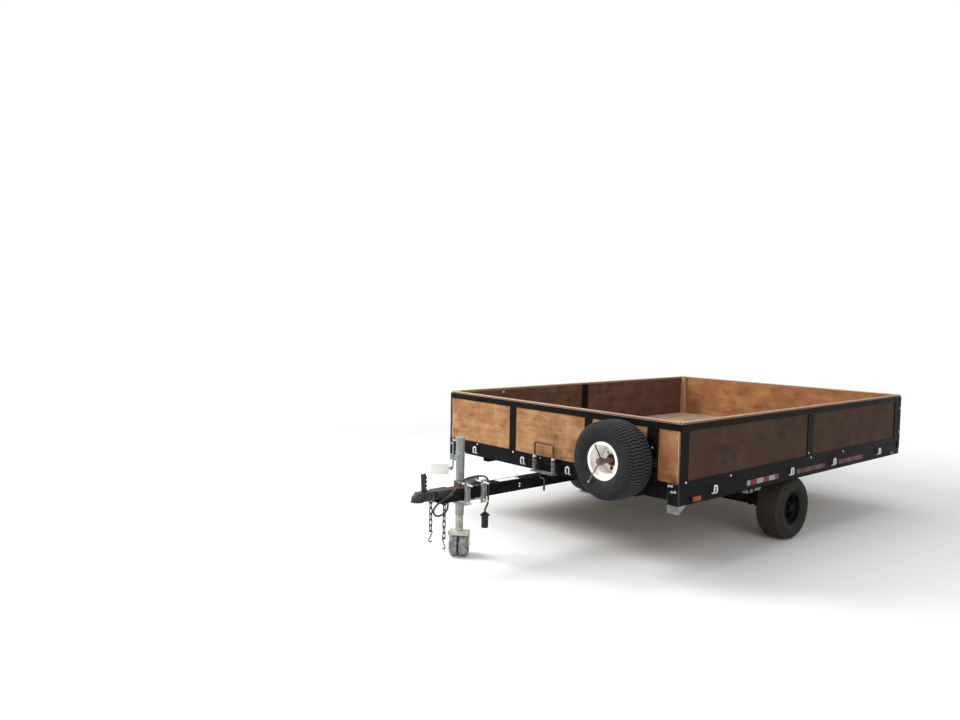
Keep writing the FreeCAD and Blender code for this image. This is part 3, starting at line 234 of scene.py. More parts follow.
# Bed frame: side rails, end rails, cross members and long beams of rolled steel, welded, then
# brushed with black enamel that has gone dull and dusty and has rusted along knocked edges.
def enamel(name, base, dust, rust, rough=(0.38, 0.62), wear=0.5):
    """Brushed paint on steel: dusty clouds, brush marks, and the edge colour where edges have worn through:
    brown rust on most, pale metal that is partly a painted highlight on the brackets and the tongue.
    """
    material = new_material(name)
    place = coordinates(material)
    cloud = add(material, "TexNoise", {"Vector": place, "Scale": every(110), "Detail": 8.0,
                                       "Roughness": 0.62})
    dusty = add(material, "ValToRGB", {"Fac": cloud.outputs["Fac"]}, stops=[(0.42, 0.0), (0.82, 1.0)])
    paint = add(material, "Mix", {0: dusty.outputs["Color"], 6: base, 7: dust}, data_type="RGBA")
    # Edges found from the bevel normal get the edge colour; a pale one is partly a painted highlight along
    # the edge
    edge = add(material, "Bevel", {"Radius": 0.0035}, samples=3)
    shape = add(material, "NewGeometry")
    flat = add(material, "VectorMath", {0: edge.outputs["Normal"], 1: shape.outputs["True Normal"]},
               operation="DOT_PRODUCT")
    edges = add(material, "ValToRGB", {"Fac": flat.outputs["Value"]}, stops=[(0.86, 1.0), (0.985, 0.0)])
    chips = add(material, "TexNoise", {"Vector": place, "Scale": every(14.3), "Detail": 5.0,
                                       "Roughness": 0.7})
    chipped = add(material, "ValToRGB", {"Fac": chips.outputs["Fac"]},
                  stops=[(0.62 - 0.16 * wear, 0.0), (0.72 - 0.16 * wear, 1.0)])
    worn = add(material, "Math", {0: edges.outputs["Color"], 1: chipped.outputs["Color"]},
               operation="MULTIPLY")
    colour = add(material, "Mix", {0: worn.outputs["Value"], 6: paint.outputs[2], 7: rust},
                 data_type="RGBA")
    roughness = add(material, "MapRange", {
        "Value": cloud.outputs["Fac"], "From Min": 0.3, "From Max": 0.75,
        "To Min": rough[0], "To Max": rough[1]})
    # Brush marks lie under 1 mm apart and are drawn at 2.4 mm to show
    brush = add(material, "TexNoise", {"Vector": place, "Scale": every(2.4), "Detail": 3.0})
    rounding = add(material, "Bump", {
        "Height": brush.outputs["Fac"], "Strength": 0.22, "Distance": 0.0006,
        "Normal": edge.outputs["Normal"]})
    # A low specular level keeps the white studio out of the paint, which is matt with age
    return finish_surface(material, {
        "Base Color": colour.outputs[2], "Roughness": roughness.outputs["Result"],
        "Specular IOR Level": 0.05, "Normal": rounding.outputs["Normal"]})

def dress(material, *names):
    """Gives CAD nodes their finish."""
    for name in names:
        mesh = nodes[name].data
        mesh.materials.clear()
        mesh.materials.append(material)

# Enamel: brushed, near black, a thin grey film of dust in clouds and brown where edges are knocked
black_enamel = enamel("black_enamel_brushed_on_steel", "#0c0d0e", "#1b1c1d", "#4d3526")
# Under the bed the same paint is matt and brown with road dust
under_enamel = enamel("black_enamel_under_road_dust", "#111110", "#3a332b", "#5a3a24",
                      rough=(0.6, 0.85), wear=0.9)
# Brackets are handled most, so their bends are scuffed to pale metal, which also stands as a painted
# highlight along their edges
bracket_enamel = enamel("black_enamel_scuffed_and_painted_highlight_at_bends", "#101112", "#252627", "#a9aaa8", wear=1.5)
dress(black_enamel, "side_rails", "end_rails")
dress(bracket_enamel, "corner_brackets")
dress(under_enamel, "cross_members", "under_beams", "pivot_ears")

# Wall frames: flat steel bars and angles round the plywood, welded to the rails and painted with
# them; the inner posts stand against the plywood at the middle of each side
dress(black_enamel, "wall_frame_left", "wall_frame_right", "wall_frame_front", "wall_frame_rear",
      "inner_posts")

# Plywood walls and deck: softwood sheets, 19 mm, seven veneers. The walls have an oil stain that
# soaked in unevenly; the deck is bare and has weathered. Sheets are bolted to the steel frames.
PLY_THICK = 0.019
PLY_TOP, TOP_BAR_EDGE = 0.9555, 0.9395

def plywood(name, grain, thickness_from, tones, edge, rough=0.7, patches=0.0, drips=0.25,
            warmth=0.85, dark_share=0.42):
    """Rotary-cut face veneer under worn stain. grain is 0 where it runs along the trailer and 1
    across; thickness_from is the axis across the sheet and where the sheet starts on it; tones are
    the pale, middle, dark and red of the face. patches, drips and warmth say how strongly the pale
    plugs, the runs of stain and the red show, and dark_share how much of the face stays dark."""
    material = new_material(name)
    pale, middle, dark, red = tones
    whole = coordinates(material)
    # Growth bands of a rotary-cut veneer lie 20 to 60 mm apart. Its fibres are under 1 mm wide and
    # are drawn at 2.6 mm to show. Stain has run down in streaks, and plugs are sewn in here and there
    bands, strands, streaks, let_in = [41.7] * 3, [2.63] * 3, [62.5] * 3, [143] * 3
    bands[grain], strands[grain], streaks[2], let_in[grain] = 667, 111, 833, 278
    figure = add(material, "TexNoise", {"Vector": coordinates(material, bands), "Scale": 1.0,
                                        "Detail": 6.0, "Roughness": 0.55, "Distortion": 0.35})
    fibres = add(material, "TexNoise", {"Vector": coordinates(material, strands), "Scale": 1.0,
                                        "Detail": 4.0, "Roughness": 0.65})
    soak = add(material, "TexNoise", {"Vector": whole, "Scale": every(125), "Detail": 8.0,
                                      "Roughness": 0.66})
    broad = add(material, "Mix", {0: 0.38, 2: soak.outputs["Fac"], 3: figure.outputs["Fac"]})
    all_three = add(material, "Mix", {0: 0.30, 2: broad.outputs[0], 3: fibres.outputs["Fac"]})
    wood = add(material, "ValToRGB", {"Fac": all_three.outputs[0]},
               stops=[(dark_share, dark), (0.48, middle), (0.57, pale)])
    warm = add(material, "TexNoise", {"Vector": whole, "Scale": every(417), "Detail": 5.0,
                                      "Roughness": 0.6})
    warmed = add(material, "ValToRGB", {"Fac": warm.outputs["Fac"]},
                 stops=[(0.46, 0.0), (0.60, warmth)])
    stained = add(material, "Mix", {0: warmed.outputs["Color"], 6: wood.outputs["Color"], 7: red},
                  data_type="RGBA")
    run = add(material, "TexNoise", {"Vector": coordinates(material, streaks), "Scale": 1.0,
                                     "Detail": 4.0})
    runs = add(material, "ValToRGB", {"Fac": run.outputs["Fac"]}, stops=[(0.55, 0.0), (0.72, drips)])
    dripped = add(material, "Mix", {0: runs.outputs["Color"], 6: stained.outputs[2], 7: dark},
                  data_type="RGBA")
    plugs = add(material, "TexVoronoi", {"Vector": coordinates(material, let_in), "Scale": 1.0,
                                         "Randomness": 0.9})
    plug_face = add(material, "ValToRGB", {"Fac": plugs.outputs["Distance"]},
                    stops=[(0.13, patches), (0.20, 0.0)])
    plugged = add(material, "Mix", {0: plug_face.outputs["Color"], 6: dripped.outputs[2], 7: pale},
                  data_type="RGBA")
    axis, start = thickness_from
    shape = add(material, "NewGeometry")
    parts = add(material, "SeparateXYZ", {"Vector": whole})
    # The strip that stands above the top bar is bleached, with a dark line where water sits; its pale top
    # is partly painted sunlight on the wall's top edge
    climb = add(material, "MapRange", {"Value": parts.outputs["Z"], "From Min": TOP_BAR_EDGE,
                                       "From Max": PLY_TOP})
    bleached_and_sunlit = add(material, "ValToRGB", {"Fac": climb.outputs["Result"]},
                   stops=[(0.12, "#a58b76"), (0.28, "#6d4a36"), (0.52, "#76503a"), (0.72, "#c7a88f")])
    above = add(material, "Math", {0: parts.outputs["Z"], 1: TOP_BAR_EDGE + 0.0003},
                operation="GREATER_THAN")
    topped = add(material, "Mix", {0: above.outputs["Value"], 6: plugged.outputs[2],
                                   7: bleached_and_sunlit.outputs["Color"]}, data_type="RGBA")
    turn = add(material, "SeparateXYZ", {"Vector": shape.outputs["Normal"]})
    depth = add(material, "Math", {0: parts.outputs[axis], 1: start}, operation="SUBTRACT")
    # Seven veneers are too fine to show, so an edge is drawn as a darker core between pale faces
    layer = add(material, "Math", {0: depth.outputs["Value"], 1: 2 * math.pi / PLY_THICK},
                operation="MULTIPLY")
    wave = add(material, "Math", {0: layer.outputs["Value"]}, operation="COSINE")
    veneers = add(material, "ValToRGB", {"Fac": wave.outputs["Value"]},
                  stops=[(0.0, "#6f5240"), (0.25, "#856650"), (0.55, edge)])
    dirt = add(material, "ValToRGB", {"Fac": soak.outputs["Fac"]}, stops=[(0.52, 0.0), (0.68, 0.35)])
    dirty_edge = add(material, "Mix", {0: dirt.outputs["Color"], 6: veneers.outputs["Color"], 7: middle},
                     data_type="RGBA")
    facing = add(material, "Math", {0: turn.outputs[axis]}, operation="ABSOLUTE")
    is_edge = add(material, "Math", {0: facing.outputs["Value"], 1: 0.5}, operation="LESS_THAN")
    colour = add(material, "Mix", {0: is_edge.outputs["Value"], 6: topped.outputs[2],
                                   7: dirty_edge.outputs[2]}, data_type="RGBA")
    roughness = add(material, "MapRange", {
        "Value": figure.outputs["Fac"], "From Min": 0.3, "From Max": 0.7,
        "To Min": rough - 0.1, "To Max": rough + 0.12})
    bump = add(material, "Bump", {"Height": fibres.outputs["Fac"], "Strength": 0.35, "Distance": 0.001})
    return finish_surface(material, {
        "Base Color": colour.outputs[2], "Roughness": roughness.outputs["Result"],
        "Normal": bump.outputs["Normal"], "Specular IOR Level": 0.12})

SIDE_PLY = 1.042  # inner face of a side wall's plywood
REAR = -2.0705  # outer face of the rear wall
END_PLY_FRONT, END_PLY_REAR = FRONT - 0.025, REAR + 0.006
DECK_LOW = 0.567
# Pale end grain on the plywood's edges, made paler with painted sunlight that the walls' top edges catch
EDGE_TAN = "#c6b29c"
# Side plywood: oil stained and even; its dark brown is painted shade on the same stain as the ends, on the
# left wall's outer face and the right wall's inner face
shaded_side_ply = plywood("plywood_stain_in_painted_shade_left", 0, (1, SIDE_PLY),
                   ("#4a372c", "#3c2d24", "#30231c", "#422d21"), EDGE_TAN, drips=0.2)
shaded_right_ply = plywood("plywood_stain_in_painted_shade_right", 0, (1, -SIDE_PLY),
                    ("#684a3a", "#573e31", "#473228", "#5a3a2e"), EDGE_TAN, drips=0.15)
# End plywood: the same oil stain, its yellow and tan painted sunlight, with pale plugs and red brown clouds
sunlit_front_ply = plywood("plywood_stain_in_painted_sunlight_front", 1, (0, END_PLY_FRONT),
                    ("#b1875c", "#956c48", "#755235", "#8a5538"), EDGE_TAN, patches=0.55, drips=0.06,
                    warmth=0.75, dark_share=0.40)
sunlit_rear_ply = plywood("plywood_stain_in_painted_sunlight_rear", 1, (0, END_PLY_REAR),
                   ("#a6764b", "#90633f", "#744d30", "#854e35"), EDGE_TAN, patches=0.3, drips=0.08,
                   warmth=0.4, dark_share=0.39)
# Deck plywood: bare, weathered grey-brown, matt with raised grain
deck_ply = plywood("plywood_bare_weathered", 1, (2, DECK_LOW),
                   ("#ab917a", "#97806a", "#806a57", "#8b6d57"), "#9a8468", rough=0.82,
                   warmth=0.2, dark_share=0.39)
dress(shaded_side_ply, "plywood_left")
dress(shaded_right_ply, "plywood_right")
dress(sunlit_front_ply, "plywood_front")
dress(sunlit_rear_ply, "plywood_rear")
dress(deck_ply, "deck")

# Corner posts: softwood, 38 mm square, sawn and planed, and nailed upright into the wall corners
# through the plywood
def softwood():
    """Planed timber: upright grain about 10 mm wide and rows of dark nail heads about 60 mm apart."""
    material = new_material("softwood_planed_weathered")
    place = coordinates(material, (10.4, 10.4, 284))
    grain = add(material, "TexNoise", {"Vector": place, "Scale": 1.0, "Detail": 7.0, "Distortion": 0.5})
    # Planed pine: pale tan with darker streaks
    wood = add(material, "ValToRGB", {"Fac": grain.outputs["Fac"]},
               stops=[(0.38, "#94724c"), (0.62, "#bd9d72")])
    nails = add(material, "TexVoronoi", {"Vector": coordinates(material, (26.3, 26.3, 62.5)),
                                         "Scale": 1.0, "Randomness": 0.6})
    heads = add(material, "ValToRGB", {"Fac": nails.outputs["Distance"]},
                stops=[(0.13, 0.8), (0.18, 0.0)])
    colour = add(material, "Mix", {0: heads.outputs["Color"], 6: wood.outputs["Color"], 7: "#3f2c20"},
                 data_type="RGBA")
    bump = add(material, "Bump", {"Height": grain.outputs["Fac"], "Strength": 0.3, "Distance": 0.001})
    return finish_surface(material, {
        "Base Color": colour.outputs[2], "Roughness": 0.75, "Specular IOR Level": 0.25,
        "Normal": bump.outputs["Normal"]})

dress(softwood(), "corner_posts")

# Frame bolts: 3/8 in carriage bolts through bar and plywood, zinc plated, with nuts and washers
# inside the walls
def zinc(name, bright, dull, rough, crystals, metal=0.85):
    """Zinc on steel: pale metal dulled in patches, with the bath's crystals, so many mm across."""
    material = new_material(name)
    place = coordinates(material)
    cells = add(material, "TexVoronoi", {"Vector": place, "Scale": every(crystals)})
    cloud = add(material, "TexNoise", {"Vector": place, "Scale": every(33.3), "Detail": 6.0})
    both = add(material, "Mix", {0: 0.6, 6: cells.outputs["Color"], 7: cloud.outputs["Color"]},
               data_type="RGBA")
    grey = add(material, "ValToRGB", {"Fac": both.outputs[2]}, stops=[(0.3, dull), (0.7, bright)])
    roughness = add(material, "MapRange", {
        "Value": cloud.outputs["Fac"], "From Min": 0.35, "From Max": 0.65,
        "To Min": rough[0], "To Max": rough[1]})
    edge = add(material, "Bevel", {"Radius": 0.0015}, samples=3)
    return finish_surface(material, {
        "Base Color": grey.outputs["Color"], "Metallic": metal, "Roughness": roughness.outputs["Result"],
        "Normal": edge.outputs["Normal"]})

# Zinc plate: thin, bright, slightly milky
bright_zinc = zinc("zinc_plate_bright_on_steel", "#dfe2e4", "#a9adb0", rough=(0.22, 0.4), crystals=4)
CARRIAGE_HEAD = [(0, 0.0070), (0.0010, 0.0070), (0.0024, 0.0058), (0.0033, 0.0040), (0.0038, 0.0018),
                 (0.0040, 0.0004)]
WASHER = [(0, 0.0100), (0.0014, 0.0100), (0.0016, 0.0096), (0.0016, 0.0050)]
BOLT_END = [(0, 0.0040), (0.0110, 0.0040), (0.0118, 0.0032)]

def hex_nut(across=0.0145, high=0.0075, hole=0.0047):
    """Hexagon nut with chamfered corners, its foot at X = 0."""
    corner = across / math.sqrt(3)
    rings = []
    for along, share in ((0, 0.94), (0.0008, 1.0), (high - 0.0008, 1.0), (high, 0.94), (high, None)):
        ring = []
        for i in range(24):
            angle = 2 * math.pi * i / 24
            side = (angle + math.pi / 6) % (math.pi / 3) - math.pi / 6
            r = hole if share is None else min(corner * share, across / 2 / math.cos(side))
            ring.append((along, r * math.cos(angle), r * math.sin(angle)))
        rings.append(ring)
    return skin(rings)

def carriage_head(place, out):
    """Domed bolt head, 14 mm across, on a face that looks out."""
    return placed(turned(CARRIAGE_HEAD, 20), place, out)

RAIL_FACE, BAR_FACE = 1.061, 1.067  # outer faces of a side rail's web and of the bars on it
FRONT_BAR = FRONT + 0.006
RAIL_BOLT_Z, TOP_BAR_Z = 0.578, 0.921
# Places from the front wall and up; the painted bolts went in before the last coat
BARE_SIDE_BOLTS = [(-0.055, 0.600), (-0.525, 0.586), (-1.506, 0.627), (-1.544, 0.590), (-2.034, 0.586)]
PAINTED_SIDE_BOLTS = [(-0.980, 0.586), (-2.560, 0.586), (-0.525, TOP_BAR_Z), (-1.525, TOP_BAR_Z),
                      (-2.560, TOP_BAR_Z)]
THROUGH_BOLT = -0.525
REAR_BRACKET_BOLTS = [(REAR + 0.0185, 0.647), (REAR + 0.0185, 0.844)]
RAIL_BOLTS = [-1.008, -0.737, -0.344, -0.072, 0.420]
TOP_BAR_BOLTS = [-0.700, -0.3557, 0.3557, 0.700]
MIDDLE_POST_BOLT = (FRONT_BAR, 0.866, 0.782)
bare_heads, painted_heads, inner_nuts = [carriage_head(MIDDLE_POST_BOLT, (1, 0, 0))], [], []
for side in (1, -1):
    out, inward = (0, side, 0), (0, -side, 0)
    bare = [(FRONT + x, z) for x, z in BARE_SIDE_BOLTS] + REAR_BRACKET_BOLTS
    painted = [(FRONT + x, z) for x, z in PAINTED_SIDE_BOLTS]
    bare_heads += [carriage_head((x, side * BAR_FACE, z), out) for x, z in bare]
    painted_heads += [carriage_head((x, side * BAR_FACE, z), out) for x, z in painted]
    # One bolt a side comes through the plywood, with its washer and nut inside the wall
    behind = (FRONT + THROUGH_BOLT, side * SIDE_PLY, TOP_BAR_Z)
    on_washer = (behind[0], side * (SIDE_PLY - 0.0018), TOP_BAR_Z)
    inner_nuts += [placed(turned(WASHER, 20), behind, inward), placed(hex_nut(), on_washer, inward),
                   placed(turned(BOLT_END, 12), on_washer, inward)]
for face, out in ((FRONT, (1, 0, 0)), (REAR, (-1, 0, 0))):
    bare_heads += [carriage_head((face, y, RAIL_BOLT_Z), out) for y in RAIL_BOLTS]
    painted_heads += [carriage_head((face, y, TOP_BAR_Z), out) for y in TOP_BAR_BOLTS]
make("carriage_bolt_heads", bare_heads, bright_zinc, "bed")
make("carriage_bolt_heads_painted", painted_heads, black_enamel, "bed")
make("wall_bolt_nuts", inner_nuts, bright_zinc, "bed")

# Corner bracket bolts: 5/16 in zinc plated bolts with nuts on small washers, four through each
# front corner bracket, unevenly spaced and each turned as its spanner left it
CORNER_BOLTS = [(0.996, 0.578, 0.586), (1.015, 0.579, 0.757), (1.016, 0.545, 0.766), (1.038, 0.548, 0.964)]
SMALL_WASHER = [(0, 0.0082), (0.0014, 0.0082), (0.0016, 0.0050)]
SMALL_BOLT_END = [(0, 0.0040), (0.0115, 0.0040), (0.0122, 0.0032)]
corner_bolts = []
for side in (1, -1):
    for y, z, turn in CORNER_BOLTS:
        place, on_washer = (FRONT_BAR, side * y, z), (FRONT_BAR + 0.0016, side * y, z)
        corner_bolts += [placed(turned(SMALL_WASHER, 24), place),
                         placed(hex_nut(0.0120, 0.0065, 0.0041), on_washer, spin=turn),
                         placed(turned(SMALL_BOLT_END, 12), on_washer)]
make("corner_bracket_bolts", corner_bolts, bright_zinc, "bed")

# Tie-down staples: round steel bar bent to a U, zinc plated and welded to the rails by both ends
# Their zinc is drawn near white and barely metallic, so they stand out from the black
hook_zinc = zinc("zinc_plate_near_white_low_metal", "#e9ebec", "#c3c6c8", rough=(0.4, 0.55), crystals=4,
                 metal=0.15)
dress(hook_zinc, "tie_down_staples")

# Corner shoes: steel plate bent into a chute under each front corner, hot-dip galvanised and
# welded to the rail
# Road dirt has dulled the galvanising to a matt mid grey
shoe_zinc = zinc("galvanised_steel_road_soiled", "#8b8e90", "#6a6c6e", rough=(0.5, 0.7), crystals=30,
                 metal=0.25)
dress(shoe_zinc, "corner_shoes")

# Lamps: moulded acrylic lenses on the rails, ribbed inside to spread the light, clipped to a dark
# base; amber at the front corners, red at the rear corners and on the rear rail
def lens(name, colour, deep):
    """Coloured acrylic: the clear face shines, and a moulded pattern below it breaks up the colour."""
    material = new_material(name)
    place = coordinates(material)
    # The prisms are about 3 mm wide on the real lens and are drawn so
    prisms = add(material, "TexVoronoi", {"Vector": place, "Scale": every(3.33), "Randomness": 0.1},
                 distance="CHEBYCHEV")
    depth = add(material, "ValToRGB", {"Fac": prisms.outputs["Distance"]}, stops=[(0.1, 0.0), (0.6, 1.0)])
    tint = add(material, "Mix", {0: depth.outputs["Color"], 6: colour, 7: deep}, data_type="RGBA")
    bump = add(material, "Bump", {"Height": prisms.outputs["Distance"], "Strength": 0.3,
                                  "Distance": 0.0008})
    return finish_surface(material, {
        "Base Color": tint.outputs[2], "Roughness": 0.35, "Specular IOR Level": 0.2,
        "Coat Weight": 0.15, "Coat Roughness": 0.15, "Normal": bump.outputs["Normal"]})

# Acrylic: deep in the mass, with a clear face over its prisms
amber_acrylic = lens("amber_acrylic_moulded", "#b04818", "#74290c")
red_acrylic = lens("red_acrylic_moulded", "#a01414", "#6b0c0c")
# Base and border: dull black plastic, and a red so dark that it looks black from the side
lamp_base_plastic = rubber("abs_lamp_base_moulded", "#1b1b1b", "#3a3631", rough=0.5)
lens_border = rubber("acrylic_border_dark_red_moulded", "#220b08", "#3a140d", rough=0.4, specular=0.1)

def domed_plate(middle, half, thick, round_by, steps=6):
    """Plate with a rounded outline, domed edges and a flat crown, thick along X; middle and half are
    its middle and half its size along its other two axes."""
    rings = []
    for shrink, rise in ((0, 0), (0, 0.45), (0.10, 0.72), (0.28, 0.90), (0.6, 1.0)):
        inset = shrink * min(half)
        ring = []
        for cx, cy, start in ((1, 1, 0), (-1, 1, 90), (-1, -1, 180), (1, -1, 270)):
            for i in range(steps + 1):
                angle = math.radians(start + 90 * i / steps)
                r = max(round_by - inset * 0.4, 0.001)
                ring.append((thick * rise,
                             middle[0] + cx * (half[0] - inset - r) + r * math.cos(angle),
                             middle[1] + cy * (half[1] - inset - r) + r * math.sin(angle)))
        rings.append(ring)
    return skin(rings)

def on_side(part, side):
    """A part drawn with its thickness along X, laid on a side rail's web."""
    flip = part[1] if side < 0 else [tuple(reversed(face)) for face in part[1]]
    return [(x, side * (RAIL_FACE + out), z) for out, x, z in part[0]], flip

ambers, borders, reds, bases = [], [], [], []
AMBER_AT, RED_AT = (FRONT - 0.161, 0.494), (FRONT - 2.903, 0.484)
TAIL_Y, TAIL_Z = 0.900, 0.541
MARKERS = [  # pieces, middle, half its size, thickness, corner radius
    (ambers, AMBER_AT, (0.040, 0.0145), 0.0195, 0.009),
    (borders, AMBER_AT, (0.050, 0.021), 0.0125, 0.012),
    (reds, RED_AT, (0.029, 0.0105), 0.0115, 0.006),
    (bases, RED_AT, (0.031, 0.013), 0.0050, 0.007),
]
TAIL_LAMP = [(reds, (0.071, 0.037), 0.0315, 0.014), (bases, (0.075, 0.041), 0.0180, 0.016)]
for side in (1, -1):
    for group, middle, half, thick, corner in MARKERS:
        group.append(on_side(domed_plate(middle, half, thick, corner), side))
    for group, half, thick, corner in TAIL_LAMP:
        plate, faces = domed_plate((side * TAIL_Y, TAIL_Z), half, thick, corner)
        group.append(([(REAR - out, y, z) for out, y, z in plate], faces))
make("amber_marker_lenses", ambers, amber_acrylic, "bed", over=["marker_lamps"])
make("amber_marker_borders", borders, lens_border, "bed", over=["marker_lamps"])
make("red_lamp_lenses", reds, red_acrylic, "bed", over=["rear_lamps"])
make("lamp_bases", bases, lamp_base_plastic, "bed")

# Reflective tape: prismatic vinyl sheeting, 33 mm wide, stuck along the side rails in alternate red
# and white lengths
def sheeting(name, colour, seam, grime):
    """Prismatic sheeting: sealed cells about 4 mm across under a clear, dusty face."""
    material = new_material(name)
    place = coordinates(material)
    cells = add(material, "TexVoronoi", {"Vector": place, "Scale": every(4.35), "Randomness": 0.0},
                feature="DISTANCE_TO_EDGE")
    lines = add(material, "ValToRGB", {"Fac": cells.outputs["Distance"]}, stops=[(0.03, 1.0), (0.10, 0.0)])
    soil = add(material, "TexNoise", {"Vector": place, "Scale": every(22.2), "Detail": 6.0,
                                      "Roughness": 0.7})
    dirty = add(material, "ValToRGB", {"Fac": soil.outputs["Fac"]},
                stops=[(0.55 - 0.3 * grime, 0.10 + 0.3 * grime), (0.75 - 0.25 * grime, 0.4 + 0.5 * grime)])
    tinted = add(material, "Mix", {0: lines.outputs["Color"], 6: colour, 7: seam}, data_type="RGBA")
    tape = add(material, "Mix", {0: dirty.outputs["Color"], 6: tinted.outputs[2], 7: "#332e2b"},
               data_type="RGBA")
    return finish_surface(material, {
        "Base Color": tape.outputs[2], "Roughness": 0.5, "Specular IOR Level": 0.15, "Coat Weight": 0.1,
        "Coat Roughness": 0.3})

# Sheeting: dull grey white and wine red. The run nearest the tongue is the cleanest; the two behind
# it lie in the tyre's spray and are brown with it
TAPE_FINISH = {
    "white": (sheeting("reflective_tape_white", "#aab4b9", "#565b60", 0.3),
              sheeting("reflective_tape_white_soiled", "#7c5f66", "#3c2a2e", 0.7)),
    "red": (sheeting("reflective_tape_red", "#8e2233", "#4b0d17", 0.3),
            sheeting("reflective_tape_red_soiled", "#741d29", "#300a10", 0.6)),
}
TAPE_RUNS = [(-0.726, -1.121), (-1.362, -1.768), (-1.986, -2.386)]
TAPE_LENGTHS = [("white", 0.10), ("red", 0.20), ("white", 0.20), ("red", 0.18), ("white", 0.20),
                ("red", 0.12)]
TAPE_Z, TAPE_HALF, TAPE_GAP = 0.5105, 0.0165, 0.0006
for run, (start, end) in enumerate(TAPE_RUNS):
    strips = {"white": [], "red": []}
    for side in (1, -1):
        x = FRONT + start
        for colour, share in TAPE_LENGTHS:
            half = (start - end) * share / 2
            strip = domed_plate((x - half, TAPE_Z), (half - TAPE_GAP, TAPE_HALF), 0.0006, 0.0015, 3)
            strips[colour].append(on_side(strip, side))
            x -= 2 * half
    for colour, slot in (("white", "white_paint"), ("red", "red_lens")):
        make(f"reflective_tape_{colour}_{run + 1}", strips[colour], TAPE_FINISH[colour][min(run, 1)],
             "bed")

# Axle and springs: square steel tube with welded spindles, under leaf springs that two U-bolts a
# side clamp to its pads; the springs hang in welded brackets
def bent_bar(points, radius, sides=10):
    """Round bar through points, with rings square to its path."""
    points = [Vector(p) for p in points]
    rings, side = [], None
    for i, point in enumerate(points):
        along = (points[min(i + 1, len(points) - 1)] - points[max(i - 1, 0)]).normalized()
        if side is None:
            side = along.orthogonal().normalized()
        side = (side - along * side.dot(along)).normalized()
        other = along.cross(side)
        rings.append([point + radius * (side * math.cos(a) + other * math.sin(a))
                      for a in (2 * math.pi * j / sides for j in range(sides))])
    return skin(rings)

dress(under_enamel, "axle", "leaf_springs", "spring_hangers")
AXLE = (FRONT - 1.470, 0.224)
BEAM_Y, CLAMP_OFF, CLAMP_HALF, CLAMP_R = 0.690, 0.0265, 0.031, 0.0048
low_bend, high_end, nut_seat = AXLE[1] - 0.027, AXLE[1] + 0.080, AXLE[1] + 0.0695
clamps, clamp_nuts = [], []
for side in (1, -1):
    for y in (side * (BEAM_Y - CLAMP_OFF), side * (BEAM_Y + CLAMP_OFF)):
        front, back = AXLE[0] + CLAMP_HALF, AXLE[0] - CLAMP_HALF
        path = [(back, y, high_end), (back, y, low_bend)]
        for angle in range(-80, 81, 20):
            turn = math.radians(angle)
            path.append((AXLE[0] + CLAMP_HALF * math.sin(turn), y, low_bend - 0.006 * math.cos(turn)))
        path += [(front, y, low_bend), (front, y, high_end)]
        clamps.append(bent_bar(path, CLAMP_R))
        clamp_nuts += [placed(hex_nut(), (x, y, nut_seat), (0, 0, 1)) for x in (back, front)]
make("spring_u_bolts", clamps, under_enamel, "bed")
make("spring_u_bolt_nuts", clamp_nuts, under_enamel, "bed")

# Road wheels: pressed steel rims welded to their discs and enamelled black, each held on its hub
# by five nuts on studs
# Wheel enamel: dull black with brake and road dust in clouds, brown where stones have hit it
wheel_enamel = enamel("black_wheel_enamel_dusty", "#10100f", "#26231f", "#3a281c", rough=(0.55, 0.8),
                      wear=0.7)
dress(wheel_enamel, "wheel_left", "wheel_right")
TYRE_Y, HUB_FACE, STUD_CIRCLE = 0.908, 0.918, 0.050
for side, name in ((1, "left"), (-1, "right")):
    out = (0, side, 0)
    nuts = []
    for i in range(5):
        angle = math.radians(72 * i + 18)
        place = (AXLE[0] + STUD_CIRCLE * math.sin(angle), side * HUB_FACE,
                 AXLE[1] + STUD_CIRCLE * math.cos(angle))
        nuts += [placed(hex_nut(0.021, 0.013, 0.0055), place, out, spin=angle),
                 placed(turned([(0, 0.0052), (0.017, 0.0052), (0.018, 0.0042)], 12), place, out)]
    make(f"lug_nuts_{name}", nuts, wheel_enamel, f"wheel_{name}")

# Road tyres: bias-ply rubber, moulded and vulcanised, nearly bald, with shallow grooves left and
# cracked, dusty shoulders; each is stretched over its rim's two lips
def arc(a, b, c, count):
    """Points on the circle through three points, from the first to the last."""
    (ax, ay), (bx, by), (cx, cy) = a, b, c
    d = 2 * (ax * (by - cy) + bx * (cy - ay) + cx * (ay - by))
    aa, bb, cc = ax * ax + ay * ay, bx * bx + by * by, cx * cx + cy * cy
    ux = (aa * (by - cy) + bb * (cy - ay) + cc * (ay - by)) / d
    uy = (aa * (cx - bx) + bb * (ax - cx) + cc * (bx - ax)) / d
    r = math.hypot(ax - ux, ay - uy)
    start, middle, end = (math.atan2(p[1] - uy, p[0] - ux) for p in (a, b, c))
    sweep = (end - start) % (2 * math.pi)
    if (middle - start) % (2 * math.pi) > sweep:
        sweep -= 2 * math.pi
    angles = [start + sweep * i / count for i in range(count + 1)]
    return [(ux + r * math.cos(angle), uy + r * math.sin(angle)) for angle in angles]

RIM_R, RIM_LIP, RIM_SHEET, RIM_GAP = 0.1016, 0.015, 0.004, 0.0003

